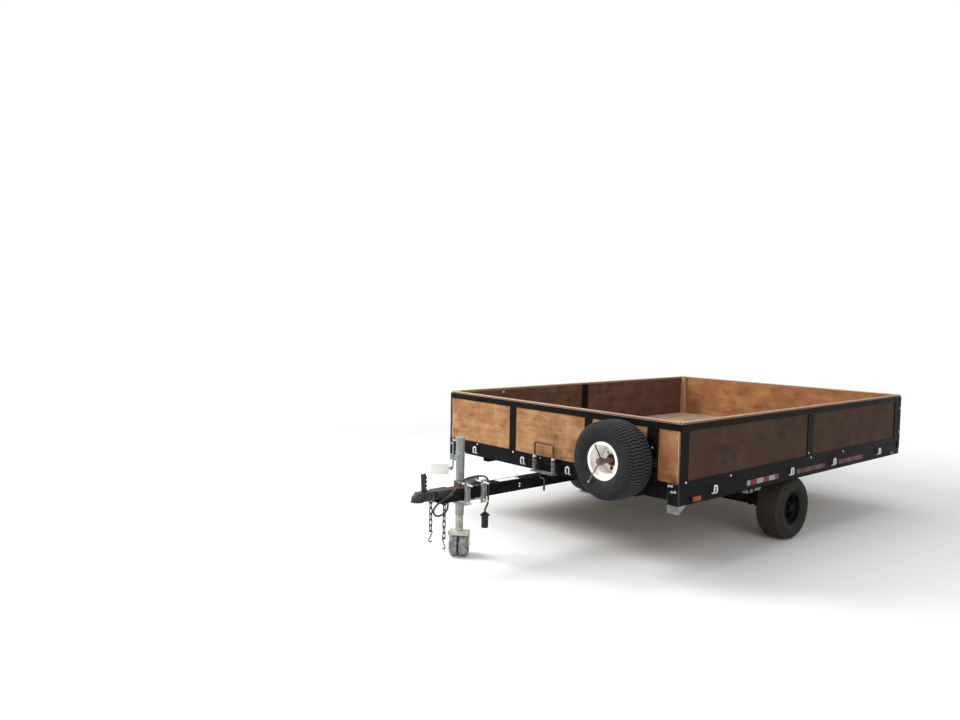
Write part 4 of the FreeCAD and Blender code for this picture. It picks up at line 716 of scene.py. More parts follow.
def tyre_skin(radius, wide, rim_wide, around, groove):
    """Tyre about its own X axis as a grid, and how deep each point of it is cut, from 0 to 1;
    groove(across, high, turn) is how deep the tread is cut there, in metres."""
    foot, top = RIM_R + RIM_GAP, RIM_R + RIM_LIP + RIM_GAP
    bead = rim_wide / 2 - RIM_SHEET - RIM_GAP
    high = radius - foot
    shoulder = radius - high * 0.2
    turn_x = wide / 2 - high * 0.05
    edge_x, edge_r = wide / 2 - high * 0.2, radius - high * 0.05
    half = [(bead, foot), (bead, top)]
    half += arc((bead, top), (wide / 2, (top + shoulder) / 2), (turn_x, shoulder), 14)[1:]
    half += [(turn_x + (edge_x - turn_x) * i / 5, shoulder + (edge_r - shoulder) * i / 5)
             for i in range(1, 6)]
    crown = arc((edge_x, edge_r), (0, radius), (-edge_x, edge_r), 44)[1:-1]
    section = np.array(half + crown + [(-x, r) for x, r in reversed(half)])
    x, r = section[:, 0], section[:, 1]
    turn = np.linspace(0, 2 * np.pi, around, endpoint=False)[:, None]
    cut = np.minimum(groove(x[None, :] / (wide / 2), r[None, :] / radius, turn), 0.012)
    # Raised rings on the walls: one at the bead and one where the wall meets the tread
    rings_up = (np.exp(-((r - (top + 0.006)) / 0.0022) ** 2)
                + 0.8 * np.exp(-((r - (shoulder - 0.008)) / 0.0018) ** 2))
    out = np.sign(x) * rings_up * 0.0016 * (np.abs(x) > bead * 0.98)
    radial = r[None, :] - cut
    across = x[None, :] + out[None, :] + 0 * turn
    grid = np.stack([across, radial * np.cos(turn), radial * np.sin(turn)], axis=-1)
    count, size = grid.shape[:2]
    i = np.arange(count)[:, None] * size
    k = (i + size) % (count * size)
    j = np.arange(size)[None, :]
    after = (j + 1) % size
    faces = np.stack([i + j, k + j, k + after, i + after], axis=-1).reshape(-1, 4)
    part = [tuple(v) for v in grid.reshape(-1, 3).tolist()], [tuple(f) for f in faces.tolist()]
    return part, (cut / np.max(cut)).reshape(-1)

def tyre_rubber(name, centre, radius, axis, tread, wall, groove, bead):
    """Vulcanised rubber: tread and wall differ by how they wear; the grooves are darkened by their depth as
    painted shade, and the bead is drawn as a paler ring, a painted highlight by the rim. It reads how deep
    a groove is from the mesh."""
    material = new_material(name)
    place = coordinates(material)
    off = add(material, "VectorMath", {0: place, 1: centre}, operation="SUBTRACT")
    keep = tuple(0.0 if i == axis else 1.0 for i in range(3))
    flat = add(material, "VectorMath", {0: off.outputs["Vector"], 1: keep}, operation="MULTIPLY")
    far = add(material, "VectorMath", {0: flat.outputs["Vector"]}, operation="LENGTH")
    share = add(material, "Math", {0: far.outputs["Value"], 1: radius}, operation="DIVIDE")
    cloud = add(material, "TexNoise", {"Vector": place, "Scale": every(45.5), "Detail": 7.0,
                                       "Roughness": 0.65})
    stir = add(material, "Math", {0: cloud.outputs["Fac"], 1: 0.06, 2: -0.03}, operation="MULTIPLY_ADD")
    ring = add(material, "Math", {0: share.outputs["Value"], 1: stir.outputs["Value"]}, operation="ADD")
    # Zones by distance from the hub: the paler bead ring is a painted highlight
    zones = add(material, "ValToRGB", {"Fac": ring.outputs["Value"]},
                stops=[(0.515, bead), (0.545, wall), (0.84, wall), (0.92, tread)])
    dusty = add(material, "ValToRGB", {"Fac": cloud.outputs["Fac"]}, stops=[(0.40, 0.0), (0.72, 0.35)])
    dusted = add(material, "Mix", {0: dusty.outputs["Color"], 6: zones.outputs["Color"], 7: tread},
                 data_type="RGBA")
    # Painted shade: the deeper the groove, the more of the groove colour
    depth = add(material, "Attribute", attribute_name="groove_depth")
    dark = add(material, "ValToRGB", {"Fac": depth.outputs["Fac"]}, stops=[(0.12, 0.0), (0.6, 1.0)])
    colour = add(material, "Mix", {0: dark.outputs["Color"], 6: dusted.outputs[2], 7: groove},
                 data_type="RGBA")
    # Pores are too fine to show and are drawn at 1.1 mm
    fine = add(material, "TexNoise", {"Vector": place, "Scale": every(1.1), "Detail": 2.0})
    bump = add(material, "Bump", {"Height": fine.outputs["Fac"], "Strength": 0.3, "Distance": 0.0005})
    return finish_surface(material, {
        "Base Color": colour.outputs[2], "Roughness": 0.65, "Specular IOR Level": 0.12,
        "Normal": bump.outputs["Normal"]})

def tyre(name, skin_and_depth, place, towards, material, body, node):
    """One tyre on its wheel, with its groove depth kept on the mesh for the rubber to read."""
    part, depth = skin_and_depth
    piece = make(name, [placed(part, place, towards)], material, body, 50, [node])
    layer = piece.data.attributes.new("groove_depth", "FLOAT", "POINT")
    layer.data.foreach_set("value", np.asarray(depth, dtype=np.float32))

def worn_tread(across, high, turn):
    """Four shallow grooves round the tread, worn away in places, and cracks in the shoulders."""
    tread = np.clip((0.74 - np.abs(across)) / 0.04, 0, 1) * (high > 0.9)
    rings = sum(np.clip(1 - np.abs(across - at - 0.012 * np.sin(9 * turn + at * 7)) / 0.035, 0, 1)
                for at in (-0.48, -0.17, 0.17, 0.48))
    left = 0.65 + 0.35 * np.sin(3 * turn + 1.0) * np.sin(7 * turn + 0.4)
    shoulder = np.exp(-((np.abs(across) - 0.86) / 0.05) ** 2) * (high > 0.86)
    nicks = np.clip(np.sin(61 * turn + 9 * across) * np.sin(23 * turn) - 0.55, 0, 1)
    return 0.0022 * rings * left * tread + 0.0045 * shoulder * nicks

ROAD_TYRE_R = 0.224
worn_tyre = tyre_skin(ROAD_TYRE_R, 0.190, 0.152, 480, worn_tread)
for side, name in ((1, "left"), (-1, "right")):
    hub = (AXLE[0], side * TYRE_Y, AXLE[1])
    # Road rubber: sun-greyed, its tread brown with ground-in dust; painted shade in the grooves and a
    # painted highlight ring at the bead
    road_rubber = tyre_rubber(f"tyre_rubber_aged_{name}", hub, ROAD_TYRE_R, 1,
                              tread="#37332b", wall="#252422", groove="#1b1916", bead="#4a4841")
    tyre(f"road_tyre_{name}", worn_tyre, hub, (0, side, 0), road_rubber, f"wheel_{name}", f"tyre_{name}")

# Spare tyre: a turf tyre on the spare's own rim, moulded with fine wavy grooves from shoulder to
# shoulder, and hardly used
def turf_tread(across, high, turn):
    """72 wavy grooves 21 mm apart that run over both shoulders, cut into blocks near the edges."""
    count = 72
    wave = 0.013 * np.sin(across * 11.0) + 0.020 * np.sin(across * 3.0)
    bar = np.abs((((turn + wave) * count / (2 * np.pi)) % 1) - 0.5) * 2
    slot = np.clip((0.52 - bar) / 0.16, 0, 1)
    reach = np.clip((0.985 - np.abs(across)) / 0.05, 0, 1) * (high > 0.80)
    blocks = sum(np.clip(1 - np.abs(np.abs(across) - at) / 0.022, 0, 1) for at in (0.66, 0.82))
    return (0.0042 * slot + 0.0026 * blocks * (slot < 0.5)) * reach

# Turf rubber: black; the grey ridges are dust with painted highlight, the near black grooves painted shade,
# the walls dark and the bead a painted highlight ring
SPARE = (FRONT + 0.1245, 0.665, 0.693)
SPARE_R = 0.243
spare_rubber = tyre_rubber("tyre_rubber_black_dust_and_painted_light", SPARE, SPARE_R, 0,
                           tread="#34373a", wall="#1f2123", groove="#131415", bead="#2b2d30")
spare_skin = tyre_skin(SPARE_R, 0.218, 0.180, 972, turf_tread)
tyre("spare_turf_tyre", spare_skin, SPARE, (1, 0, 0), spare_rubber, "bed", "spare_tyre")

# Spare rim: pressed steel disc and barrel, welded together and stoved with white enamel; it sits
# with its disc on the carrier's seat
def rim_enamel():
    """White stoving enamel: bright and a little shiny. Rust creeps from the hub hole and from the
    lowest stud hole and runs down."""
    material = new_material("white_rim_enamel_stoved")
    place = coordinates(material)
    hub = add(material, "VectorMath", {0: place, 1: SPARE}, operation="SUBTRACT")
    flat = add(material, "VectorMath", {0: hub.outputs["Vector"], 1: (0.0, 1.0, 1.0)}, operation="MULTIPLY")
    far = add(material, "VectorMath", {0: flat.outputs["Vector"]}, operation="LENGTH")
    low = add(material, "VectorMath", {0: flat.outputs["Vector"], 1: (0.0, 0.0, -0.050)},
              operation="DISTANCE")
    speck = add(material, "TexNoise", {"Vector": place, "Scale": every(18.2), "Detail": 8.0,
                                       "Roughness": 0.7})
    near_hub = add(material, "MapRange", {
        "Value": far.outputs["Value"], "From Min": 0.031, "From Max": 0.047,
        "To Min": 0.55, "To Max": -0.12})
    near_hole = add(material, "MapRange", {
        "Value": low.outputs["Value"], "From Min": 0.009, "From Max": 0.020,
        "To Min": 0.50, "To Max": -0.12})
    near = add(material, "Math", {0: near_hub.outputs["Result"], 1: near_hole.outputs["Result"]},
               operation="MAXIMUM")
    rusty = add(material, "Math", {0: near.outputs["Value"], 1: speck.outputs["Fac"]}, operation="ADD")
    mask = add(material, "ValToRGB", {"Fac": rusty.outputs["Value"]}, stops=[(0.66, 0.0), (0.80, 1.0)])
    clean = add(material, "Mix", {0: speck.outputs["Fac"], 6: "#fcfbf8", 7: "#f3f0e8"}, data_type="RGBA")
    rust = add(material, "Mix", {0: speck.outputs["Fac"], 6: "#8a5228", 7: "#4a2c1c"}, data_type="RGBA")
    colour = add(material, "Mix", {0: mask.outputs["Color"], 6: clean.outputs[2], 7: rust.outputs[2]},
                 data_type="RGBA")
    edge = add(material, "Bevel", {"Radius": 0.0025}, samples=3)
    return finish_surface(material, {
        "Base Color": colour.outputs[2], "Roughness": 0.45, "Normal": edge.outputs["Normal"],
        "Coat Weight": 0.1})

dress(rim_enamel(), "spare_rim")

# Spare carrier and hold rods: a steel bar welded across two posts with a threaded stub; a black
# rod goes up to the rim and a thin bare one down over the tyre, both from a collar on the stub
def parted_by(name, axis, edges, colours, rough=0.55):
    """Steel whose finish changes along one axis, with a ragged line between each two colours."""
    material = new_material(name)
    place = coordinates(material)
    parts = add(material, "SeparateXYZ", {"Vector": place})
    speck = add(material, "TexNoise", {"Vector": place, "Scale": every(6.25), "Detail": 6.0,
                                       "Roughness": 0.7})
    ragged = add(material, "Math", {0: speck.outputs["Fac"], 1: 0.012, 2: -0.006},
                 operation="MULTIPLY_ADD")
    along = add(material, "Math", {0: parts.outputs[axis], 1: ragged.outputs["Value"]}, operation="ADD")
    tones = [add(material, "Mix", {0: speck.outputs["Fac"], 6: pale, 7: dark}, data_type="RGBA")
             for pale, dark in colours]
    colour = tones[0]
    for edge, tone in zip(edges, tones[1:]):
        past = add(material, "Math", {0: along.outputs["Value"], 1: edge}, operation="GREATER_THAN")
        colour = add(material, "Mix", {0: past.outputs["Value"], 6: colour.outputs[2],
                                       7: tone.outputs[2]}, data_type="RGBA")
    bump = add(material, "Bump", {"Height": speck.outputs["Fac"], "Strength": 0.3, "Distance": 0.0005})
    return finish_surface(material, {
        "Base Color": colour.outputs[2], "Roughness": rough, "Specular IOR Level": 0.3,
        "Normal": bump.outputs["Normal"]})

# Carrier steel: black enamel at the wall, rust behind the rim darkened as painted shade in the hub hole,
# and a stub whose thread has rusted pinkish brown
carrier_steel = parted_by("steel_enamelled_then_rusted_stub", "X", [FRONT + 0.040, FRONT + 0.127],
                          [("#0d0e0f", "#161616"), ("#32231e", "#160f0d"), ("#86645b", "#4d3732")],
                          rough=0.7)
# Rod steel: bare and greyed on the lower rod with a scraped tip, black paint on the upper one
rod_steel = parted_by("round_rod_bare_then_painted", "Z", [0.566, 0.668, 0.712],
                      [("#e8e4dc", "#c9c3b8"), ("#85796f", "#453e39"), ("#7b5a4e", "#4a342d"),
                       ("#15110f", "#221b17")])
dress(carrier_steel, "spare_carrier")
dress(rod_steel, "spare_hold_rods")

# Tongue: square steel tube, 76 mm across, that runs from the coupler back to the bed's pivot,
# brushed with black enamel
def browned_top(material, brown, dark, start, end):
    """Mixes rust into an enamel where its faces look up, more of it from start to end along X."""
    surface = next(n for n in material.node_tree.nodes if n.type == "BSDF_PRINCIPLED")
    paint = surface.inputs["Base Color"].links[0].from_socket
    place = coordinates(material)
    shape = add(material, "NewGeometry")
    parts = add(material, "SeparateXYZ", {"Vector": shape.outputs["Normal"]})
    spots = add(material, "TexNoise", {"Vector": place, "Scale": every(41.7), "Detail": 9.0,
                                       "Roughness": 0.7})
    rust = add(material, "ValToRGB", {"Fac": spots.outputs["Fac"]}, stops=[(0.36, dark), (0.62, brown)])
    forward = add(material, "SeparateXYZ", {"Vector": place})
    nearer = add(material, "MapRange", {"Value": forward.outputs["X"], "From Min": start, "From Max": end,
                                        "To Min": 0.62, "To Max": 1.05})
    patchy = add(material, "Math", {0: parts.outputs["Z"], 1: spots.outputs["Fac"]}, operation="MULTIPLY")
    up = add(material, "Math", {0: patchy.outputs["Value"], 1: nearer.outputs["Result"]},
             operation="MULTIPLY")
    mask = add(material, "ValToRGB", {"Fac": up.outputs["Value"]}, stops=[(0.36, 0.0), (0.46, 1.0)])
    colour = add(material, "Mix", {0: mask.outputs["Color"], 6: paint, 7: rust.outputs["Color"]},
                 data_type="RGBA")
    material.node_tree.links.new(colour.outputs[2], surface.inputs["Base Color"])

# Tongue enamel: black on the sides, worn off the top, which is brown with rust near the jack; its pale worn
# edges are scuffs and partly a painted highlight
tongue_enamel = enamel("black_enamel_rust_browned_on_top", "#0d0d0e", "#26211c", "#8d8177",
                       rough=(0.4, 0.7), wear=1.0)
browned_top(tongue_enamel, "#604840", "#33271f", FRONT + 0.50, FRONT + 0.72)
dress(tongue_enamel, "tongue")

# Label: a blank vinyl sticker, 174 by 57 mm, on the tongue's top
# Vinyl: dull white, soiled grey in patches
label_vinyl = rubber("vinyl_label_blank_soiled", "#dfe1e2", "#a9a9a6", rough=0.5, dusting=0.5)
TONGUE_SIDE, TONGUE_TOP = 0.0381, 0.4897
plate, faces = domed_plate((FRONT + 0.371, 0.0025), (0.087, 0.0285), 0.0007, 0.003, 3)
label = [(x, y, TONGUE_TOP + out) for out, x, y in plate]
make("blank_tongue_label", [(label, faces)], label_vinyl, "tongue", 30)

# Tongue bolt: zinc plated steel, up through the tube's top near its left side, with one nut down on
# the tube and one near its end; the heads of two more stand in the side below it
PIN = (FRONT + 0.312, 0.0290)
UP, LEFT = (0, 0, 1), (0, 1, 0)
standing = [placed(turned(WASHER, 20), (*PIN, TONGUE_TOP), UP),
            placed(hex_nut(0.0130, 0.0070, 0.0041), (*PIN, TONGUE_TOP + 0.0016), UP),
            placed(turned([(0, 0.0040), (0.030, 0.0040), (0.031, 0.0032)], 14), (*PIN, TONGUE_TOP), UP),
            placed(hex_nut(0.0160, 0.0090, 0.0041), (*PIN, TONGUE_TOP + 0.0225), UP)]
standing += [carriage_head((FRONT + 0.293, TONGUE_SIDE, height), LEFT) for height in (0.458, 0.441)]
make("tongue_standing_bolt", standing, hook_zinc, "tongue")

# Latch pin: round steel bar, 9 mm thick, bent back and down beside the tongue's left face, with a
# black plastic sleeve pushed on its end
def rusted(name, light, middle, dark, rough=0.85, patch=26.3, turns=(0.34, 0.50, 0.68)):
    """Steel that has lost its paint: matt, in three tones that lie in patches so many millimetres
    wide, with a pitted face. turns are where the dark, the middle and the light one are reached."""
    material = new_material(name)
    place = coordinates(material)
    cloud = add(material, "TexNoise", {"Vector": place, "Scale": every(patch), "Detail": 9.0,
                                       "Roughness": 0.7})
    colour = add(material, "ValToRGB", {"Fac": cloud.outputs["Fac"]},
                 stops=list(zip(turns, (dark, middle, light))))
    # Pits are under 1 mm wide and are drawn at 2.6 mm to show
    pits = add(material, "TexNoise", {"Vector": place, "Scale": every(2.6), "Detail": 4.0,
                                      "Roughness": 0.75})
    edge = add(material, "Bevel", {"Radius": 0.0015}, samples=3)
    bump = add(material, "Bump", {"Height": pits.outputs["Fac"], "Strength": 0.5, "Distance": 0.0009,
                                  "Normal": edge.outputs["Normal"]})
    return finish_surface(material, {
        "Base Color": colour.outputs["Color"], "Roughness": rough, "Normal": bump.outputs["Normal"]})

# Bare bar: rusted pinkish brown and matt
pin_rust = rusted("round_bar_rusted_pinkish", "#b08d7f", "#7c5a4d", "#4a342c")
PIN_BEND = [(0.109, 0, 0.474), (0.109, 0.007, 0.475), (0.104, 0.012, 0.474), (0.092, 0.014, 0.469),
            (0.083, 0.014, 0.461), (0.080, 0.014, 0.449), (0.080, 0.014, 0.425)]
SLEEVE = [(0, 0.0050), (0.001, 0.0066), (0.036, 0.0070), (0.040, 0.0052)]
bend = [(FRONT + x, TONGUE_SIDE + y, z) for x, y, z in PIN_BEND]
make("latch_pin", [bent_bar(bend, 0.0046, 14)], pin_rust, "tongue")
make("latch_pin_sleeve", [placed(turned(SLEEVE, 20), bend[-1], (0, 0, -1))], plug_plastic, "tongue")

# Coupler: cast steel head with a saddle that is welded and riveted over the tongue's end, and a
# notched latch lever on top, held by a bolt through the head's cheeks
def weld(points, radius=0.0035, ripple=0.0045):
    """Bead of weld along a straight or bent run, rippled as it was laid."""
    points = [Vector(p) for p in points]
    fine = []
    for a, b in zip(points, points[1:]):
        steps = max(2, round((b - a).length / (ripple / 3)))
        fine += [a + (b - a) * i / steps for i in range(steps)]
    fine.append(points[-1])
    verts, faces = bent_bar(fine, radius, 8)
    out = []
    for i, v in enumerate(verts):
        ring = i // 8
        centre = fine[ring]
        swell = 1 + 0.16 * math.sin(2 * math.pi * ring / 3)
        out.append(tuple(centre + (Vector(v) - centre) * swell))
    return out, faces

# Cast steel: near black and rough, with pale chips where it has been knocked
coupler_rust = rusted("cast_steel_black_with_pale_chips", "#857d7a", "#231f1f", "#0f0f10", rough=0.6,
                      patch=11.8, turns=(0.34, 0.57, 0.68))
dress(coupler_rust, "coupler", "coupler_latch")
SADDLE_BACK, SADDLE_FOOT, SADDLE_TOP = FRONT + 0.848, 0.4553, 0.4912
saddle_welds = [weld([(SADDLE_BACK, -0.040, SADDLE_TOP), (SADDLE_BACK, 0.040, SADDLE_TOP)])]
coupler_bolts = []
for side in (1, -1):
    out, y = (0, side, 0), side * 0.0428
    saddle_welds.append(weld([(SADDLE_BACK, y, 0.4560), (SADDLE_BACK, y, 0.4935)]))
    y = side * 0.0395
    saddle_welds.append(weld([(SADDLE_BACK + 0.004, y, SADDLE_FOOT), (FRONT + 0.934, y, SADDLE_FOOT)]))
    place = (FRONT + 1.045, side * 0.029, 0.470)
    coupler_bolts += [placed(hex_nut(0.019, 0.009, 0.0055), place, out),
                      placed(turned([(0, 0.0052), (0.013, 0.0052), (0.014, 0.0040)], 14), place, out)]
    rivet = turned([(0, 0.0085), (0.002, 0.0082), (0.0055, 0.0048), (0.0062, 0.0004)], 18)
    coupler_bolts.append(placed(rivet, (FRONT + 0.905, side * 0.0433, 0.474), out))
make("coupler_saddle_welds", saddle_welds, coupler_rust, "tongue")
make("coupler_bolts_and_rivets", coupler_bolts, coupler_rust, "tongue")

# Safety chains: welded links of 6 mm steel wire that hang from bent eyes under the tongue and the
# coupler's neck, with an open hook on each lower end
# Chain steel: bare, rusted to an even dark brown
chain_rust = rusted("chain_steel_rusted_dark", "#5a463c", "#32272a", "#171414", rough=0.6, patch=11.1)
dress(chain_rust, "safety_chains")

# Hold-down: a U of bent round bar, pulled down by a zinc plated coil spring on each leg; the legs
# go through lugs welded to the front rail, with two nuts above each lug
# Round bar: bare, rusted red brown
bar_rust = rusted("round_bar_rusted_red_brown", "#80584b", "#54362e", "#2c1f1c")
# Strap zinc: mid grey, weathered; plate zinc has worn through to dark steel in places
strap_zinc = zinc("galvanised_strap_weathered", "#a9aeaf", "#6d6f6e", rough=(0.45, 0.6), crystals=8,
                  metal=0.45)
plate_zinc = zinc("galvanised_plate_worn", "#9b9c9c", "#3a3632", rough=(0.5, 0.7), crystals=6,
                  metal=0.35)
dress(bar_rust, "hold_down_bar")
dress(plate_zinc, "latch_plate")

def coil_spring(middle, low, high, radius, wire, turns=7.5, steps=28):
    """Compression spring about a vertical axis, with its end turns closed."""
    path = []
    for i in range(int(turns * steps) + 1):
        share = i / (turns * steps)
        # The end turns are ground flat, so the pitch opens from both ends
        eased = 0.5 - 0.5 * math.cos(math.pi * min(max((share - 0.03) / 0.94, 0), 1))
        rise = 0.25 * eased + 0.75 * min(max((share - 0.06) / 0.88, 0), 1)
        angle = 2 * math.pi * turns * share
        path.append((middle[0] + radius * math.cos(angle), middle[1] + radius * math.sin(angle),
                     low + wire + (high - low - 2 * wire) * rise))
    return bent_bar(path, wire, 8)

def flat_washer(middle, foot, thick, hole_r, outer_r, sides=28):
    """Washer that lies flat round a leg."""
    rings = []
    for up, r in ((0, hole_r), (0, outer_r), (thick, outer_r), (thick, hole_r)):
        rings.append([(middle[0] + r * math.cos(a), middle[1] + r * math.sin(a), foot + up)
                      for a in (2 * math.pi * j / sides for j in range(sides))])
    return skin(rings, closed=True)

def holed_lug(low, high, hole, hole_r, round_r, count=28):
    """Plate with a round hole through it and its outer end rounded about the hole."""
    rings = []
    for z in (low[2], high[2]):
        outer, inner = [], []
        for i in range(count):
            angle = 2 * math.pi * i / count
            step = (math.cos(angle), math.sin(angle))
            reach = [round_r] if step[0] > 0 else []
            for axis in (0, 1):
                if abs(step[axis]) > 1e-9:
                    side = high[axis] if step[axis] > 0 else low[axis]
                    reach.append((side - hole[axis]) / step[axis])
            outer.append((hole[0] + step[0] * min(reach), hole[1] + step[1] * min(reach), z))
            inner.append((hole[0] + hole_r * step[0], hole[1] + hole_r * step[1], z))
        rings.append((outer, inner))
    (low_outer, low_inner), (high_outer, high_inner) = rings
    return skin([low_inner, low_outer, high_outer, high_inner], closed=True)

LATCH_X, LATCH_Y = FRONT + 0.036, 0.088
SPRING_FOOT, SPRING_HEAD = 0.5022, 0.5760
LUG_LOW, LUG_HIGH, LUG_HALF = 0.5777, 0.5857, 0.018
LEG_NUTS = [(LUG_HIGH, 0.0230, 0.353), (0.5942, 0.0200, 0.071)]  # foot, across its flats, turned by
coils, lugs, nuts = [], [], []
for side in (1, -1):
    leg = (LATCH_X, side * LATCH_Y)
    coils.append(coil_spring(leg, SPRING_FOOT, SPRING_HEAD, 0.0122, 0.0026))
    coils += [flat_washer(leg, foot, 0.0014, 0.0078, 0.0155)
              for foot in (SPRING_FOOT - 0.0012, SPRING_HEAD)]
    lugs.append(holed_lug((FRONT + 0.0003, leg[1] - LUG_HALF, LUG_LOW),
                          (FRONT + 0.049, leg[1] + LUG_HALF, LUG_HIGH), leg, 0.0074, 0.0225))
    nuts += [placed(hex_nut(across, 0.0080, 0.0071), (*leg, foot), UP, spin=turn)
             for foot, across, turn in LEG_NUTS]
make("hold_down_lugs", lugs, black_enamel, "bed", 30, ["hold_down_springs"])
make("hold_down_nuts", nuts, hook_zinc, "bed")
make("hold_down_coils", coils, strap_zinc, "bed", over=["hold_down_springs"])

# Jack: galvanised steel tube with a welded boss that turns on the mount's stub, a leg that slides
# in it and a pressed caster fork; two straps and four long bolts clamp the mount to the tongue
# Tube zinc: grey, even and a little shiny; the leg and fork are paler, matt and slightly creamy
jack_zinc = zinc("galvanised_tube_dull", "#999d9c", "#7e8382", rough=(0.38, 0.5), crystals=22, metal=0.5)
leg_zinc = zinc("galvanised_tube_yellowed", "#b5b4aa", "#94928a", rough=(0.5, 0.7), crystals=16,
                metal=0.35)
fork_zinc = zinc("galvanised_fork_creamy", "#d3d1ca", "#a5a39b", rough=(0.5, 0.7), crystals=30,
                 metal=0.25)
dress(jack_zinc, "jack_tube")
dress(strap_zinc, "jack_mount", "jack_straps", "jack_crank")
dress(leg_zinc, "jack_leg")
dress(hook_zinc, "jack_bolts")
dress(fork_zinc, "caster_fork")

# Jack head: a pressed collar round the tube, four set screws that hold the gears and a domed cap,
# all of zinc coated steel
JACK = (FRONT + 0.640, -0.150)
collar_ring = turned([(0.646, 0.0281), (0.6475, 0.0296), (0.6565, 0.0296), (0.658, 0.0281)], 48)
dome = turned([(0.7655, 0.0280), (0.7664, 0.0262), (0.7672, 0.0200), (0.7677, 0.0100), (0.7679, 0.0010)],
              48)
make("jack_head_collar", [stood(part, JACK) for part in (collar_ring, dome)], jack_zinc, "jack")
SCREW_OUT, SCREW_Z = 0.0275, 0.672
screw = turned([(0, 0.0048), (0.0024, 0.0046), (0.0034, 0.0030), (0.0036, 0.0004)], 16)
screws = []
for angle in (40, 130, 220, 310):
    out = (math.cos(math.radians(angle)), math.sin(math.radians(angle)), 0)
    place = (JACK[0] + SCREW_OUT * out[0], JACK[1] + SCREW_OUT * out[1], SCREW_Z)
    screws.append(placed(screw, place, out))
make("jack_head_screws", screws, hook_zinc, "jack")

# Caster wheels: a pair moulded in grey nylon, on one steel pin through the fork; their treads are
# scuffed pale by the ground
def caster_nylon():
    """Moulded nylon: mid grey, rubbed pale in streaks along the way it rolls and darker between them."""
    material = new_material("nylon_caster_moulded_scuffed")
    place = coordinates(material, (33.3, 6.67, 33.3))
    scuff = add(material, "TexNoise", {"Vector": place, "Scale": 1.0, "Detail": 8.0, "Roughness": 0.7})
    colour = add(material, "ValToRGB", {"Fac": scuff.outputs["Fac"]},
                 stops=[(0.36, "#47484b"), (0.50, "#77787b"), (0.64, "#bdb9b1")])
    edge = add(material, "Bevel", {"Radius": 0.002}, samples=3)
    bump = add(material, "Bump", {"Height": scuff.outputs["Fac"], "Strength": 0.6, "Distance": 0.0012,
                                  "Normal": edge.outputs["Normal"]})
    return finish_surface(material, {
        "Base Color": colour.outputs["Color"], "Roughness": 0.65, "Normal": bump.outputs["Normal"]})

dress(caster_nylon(), "caster_wheels")

# Tag: a blank card, 117 by 67 mm, slightly curled, tied by a loop of string to the lower end of
# the jack's crank
# Card and string: white, matt, a little soiled
paper = rubber("paper_tag_blank", "#f4f4f1", "#dddcd6", rough=0.7, dusting=0.3)
CRANK_END = (FRONT + 0.640, -0.247)
TAG_LONG, TAG_HIGH, TAG_LOW, CARD = 0.117, 0.067, 0.510, 0.0005
tag_away, tag_out = Vector((0.761, -0.648, 0.0)), Vector((0.648, 0.761, 0.0))
columns, rows = 18, 8
face_side = []
for j in range(rows + 1):
    for i in range(columns + 1):
        u, v = i / columns, j / rows
        curl = 0.004 * math.sin(3.0 * u) + 0.0015 * math.sin(5 * v + 1.0)
        flat = Vector((*CRANK_END, TAG_LOW)) + tag_away * (0.012 + TAG_LONG * u) + tag_out * curl
        face_side.append(tuple(flat + Vector((0, 0, TAG_HIGH * v + 0.004 * u))))
back_side = [tuple(Vector(v) - tag_out * CARD) for v in face_side]
across = columns + 1
tag_faces = [(j * across + i, j * across + i + 1, (j + 1) * across + i + 1, (j + 1) * across + i)
             for j in range(rows) for i in range(columns)]
tag_faces += [tuple(len(face_side) + i for i in reversed(face)) for face in tag_faces]
make("blank_paper_tag", [(face_side + back_side, tag_faces)], paper, "jack", 60)
loop_middle = Vector((*CRANK_END, TAG_LOW + 0.040)) + tag_away * 0.006
string = []
for i in range(25):
    angle = 2 * math.pi * i / 24
    string.append(loop_middle + tag_away * 0.016 * math.cos(angle) + tag_out * 0.012 * math.sin(angle)
                  + Vector((0, 0, 0.0075 * math.sin(angle))))
make("tag_string", [bent_bar(string, 0.0007, 6)], paper, "jack")

# Studio floor: a pale matt sheet under the trailer, far larger than what shows, that fades to a
# white backdrop
def backdrop_rays(target):
    """1 for rays that see the backdrop: the camera's, and those that metal or glass sends on."""
    ray = add(target, "LightPath")
    seen = add(target, "Math", {0: ray.outputs["Is Camera Ray"], 1: ray.outputs["Is Glossy Ray"]},
               operation="MAXIMUM")
    shown = add(target, "Math", {0: seen.outputs["Value"], 1: ray.outputs["Is Transmission Ray"]},
                operation="MAXIMUM")
    return shown.outputs["Value"]

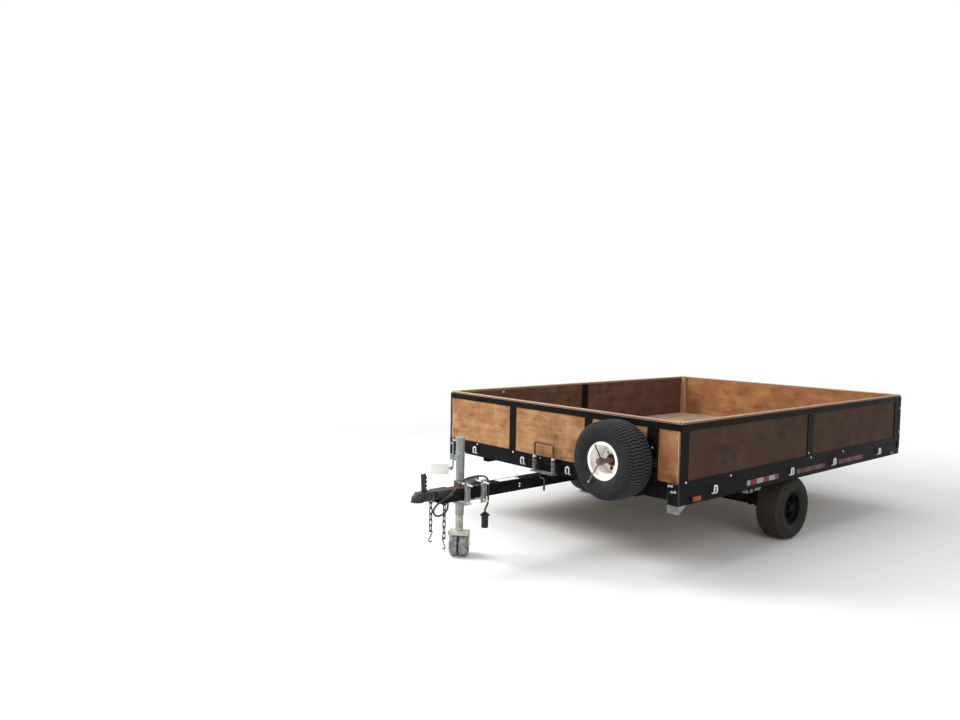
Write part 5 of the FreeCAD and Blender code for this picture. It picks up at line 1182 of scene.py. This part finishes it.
def studio_floor():
    """Matt pale floor: keeps the shadow, and turns to white backdrop away from the trailer."""
    material = new_material("studio_floor_matt")
    place = add(material, "TexCoord")
    far = add(material, "VectorMath", {0: place.outputs["Object"]}, operation="LENGTH")
    fade = add(material, "MapRange", {"Value": far.outputs["Value"], "From Min": 2.6, "From Max": 6.0},
               interpolation_type="SMOOTHSTEP")
    share = add(material, "Math", {0: fade.outputs["Result"], 1: backdrop_rays(material)},
                operation="MULTIPLY")
    surface = add(material, "BsdfPrincipled", {"Base Color": "#e9e9e8", "Roughness": 0.9,
                                               "Specular IOR Level": 0.1})
    glow = add(material, "Emission", {"Color": "#ffffff", "Strength": 1.0})
    mixed = add(material, "MixShader", {0: share.outputs["Value"], 1: surface.outputs["BSDF"],
                                        2: glow.outputs["Emission"]})
    add(material, "OutputMaterial", {"Surface": mixed.outputs["Shader"]})
    return material

FLOOR_HALF = 40
floor_mesh = bpy.data.meshes.new("studio_floor")
corners = [(-1, -1), (1, -1), (1, 1), (-1, 1)]
floor_mesh.from_pydata([(x * FLOOR_HALF, y * FLOOR_HALF, 0) for x, y in corners], [], [(0, 1, 2, 3)])
floor_mesh.materials.append(studio_floor())
floor = bpy.data.objects.new("studio_floor", floor_mesh)
scene.collection.objects.link(floor)

# Light: a wide soft key from the front right, a weaker fill from the front left and one above,
# in a room that is white to the camera and gives a little more than half of that as light
LAMPS = [  # name, place, aims at, size, watts
    ("key", (4.2, -3.6, 4.6), (0.0, 0.0, 0.5), 3.0, 420.0),
    ("fill", (2.6, 5.6, 3.2), (0.0, 0.3, 0.4), 4.0, 110.0),
    ("top", (-0.6, 0.0, 6.0), (-0.3, 0.0, 0.4), 4.5, 150.0),
]
for name, place, target, size, watts in LAMPS:
    lamp = bpy.data.lights.new(name, "AREA")
    lamp.shape = "SQUARE"
    lamp.size = size
    lamp.energy = watts
    holder = bpy.data.objects.new(name, lamp)
    holder.location = place
    holder.rotation_euler = (Vector(target) - Vector(place)).to_track_quat("-Z", "Y").to_euler()
    scene.collection.objects.link(holder)
world = bpy.data.worlds.new("studio")
world.use_nodes = True
world.node_tree.nodes.clear()
level = add(world, "MapRange", {"Value": backdrop_rays(world), "To Min": 0.55, "To Max": 1.0})
background = add(world, "Background", {"Color": "#ffffff", "Strength": level.outputs["Result"]})
add(world, "OutputWorld", {"Surface": background.outputs["Background"]})
scene.world = world
scene.view_settings.view_transform = "Standard"

bpy.context.view_layer.update()
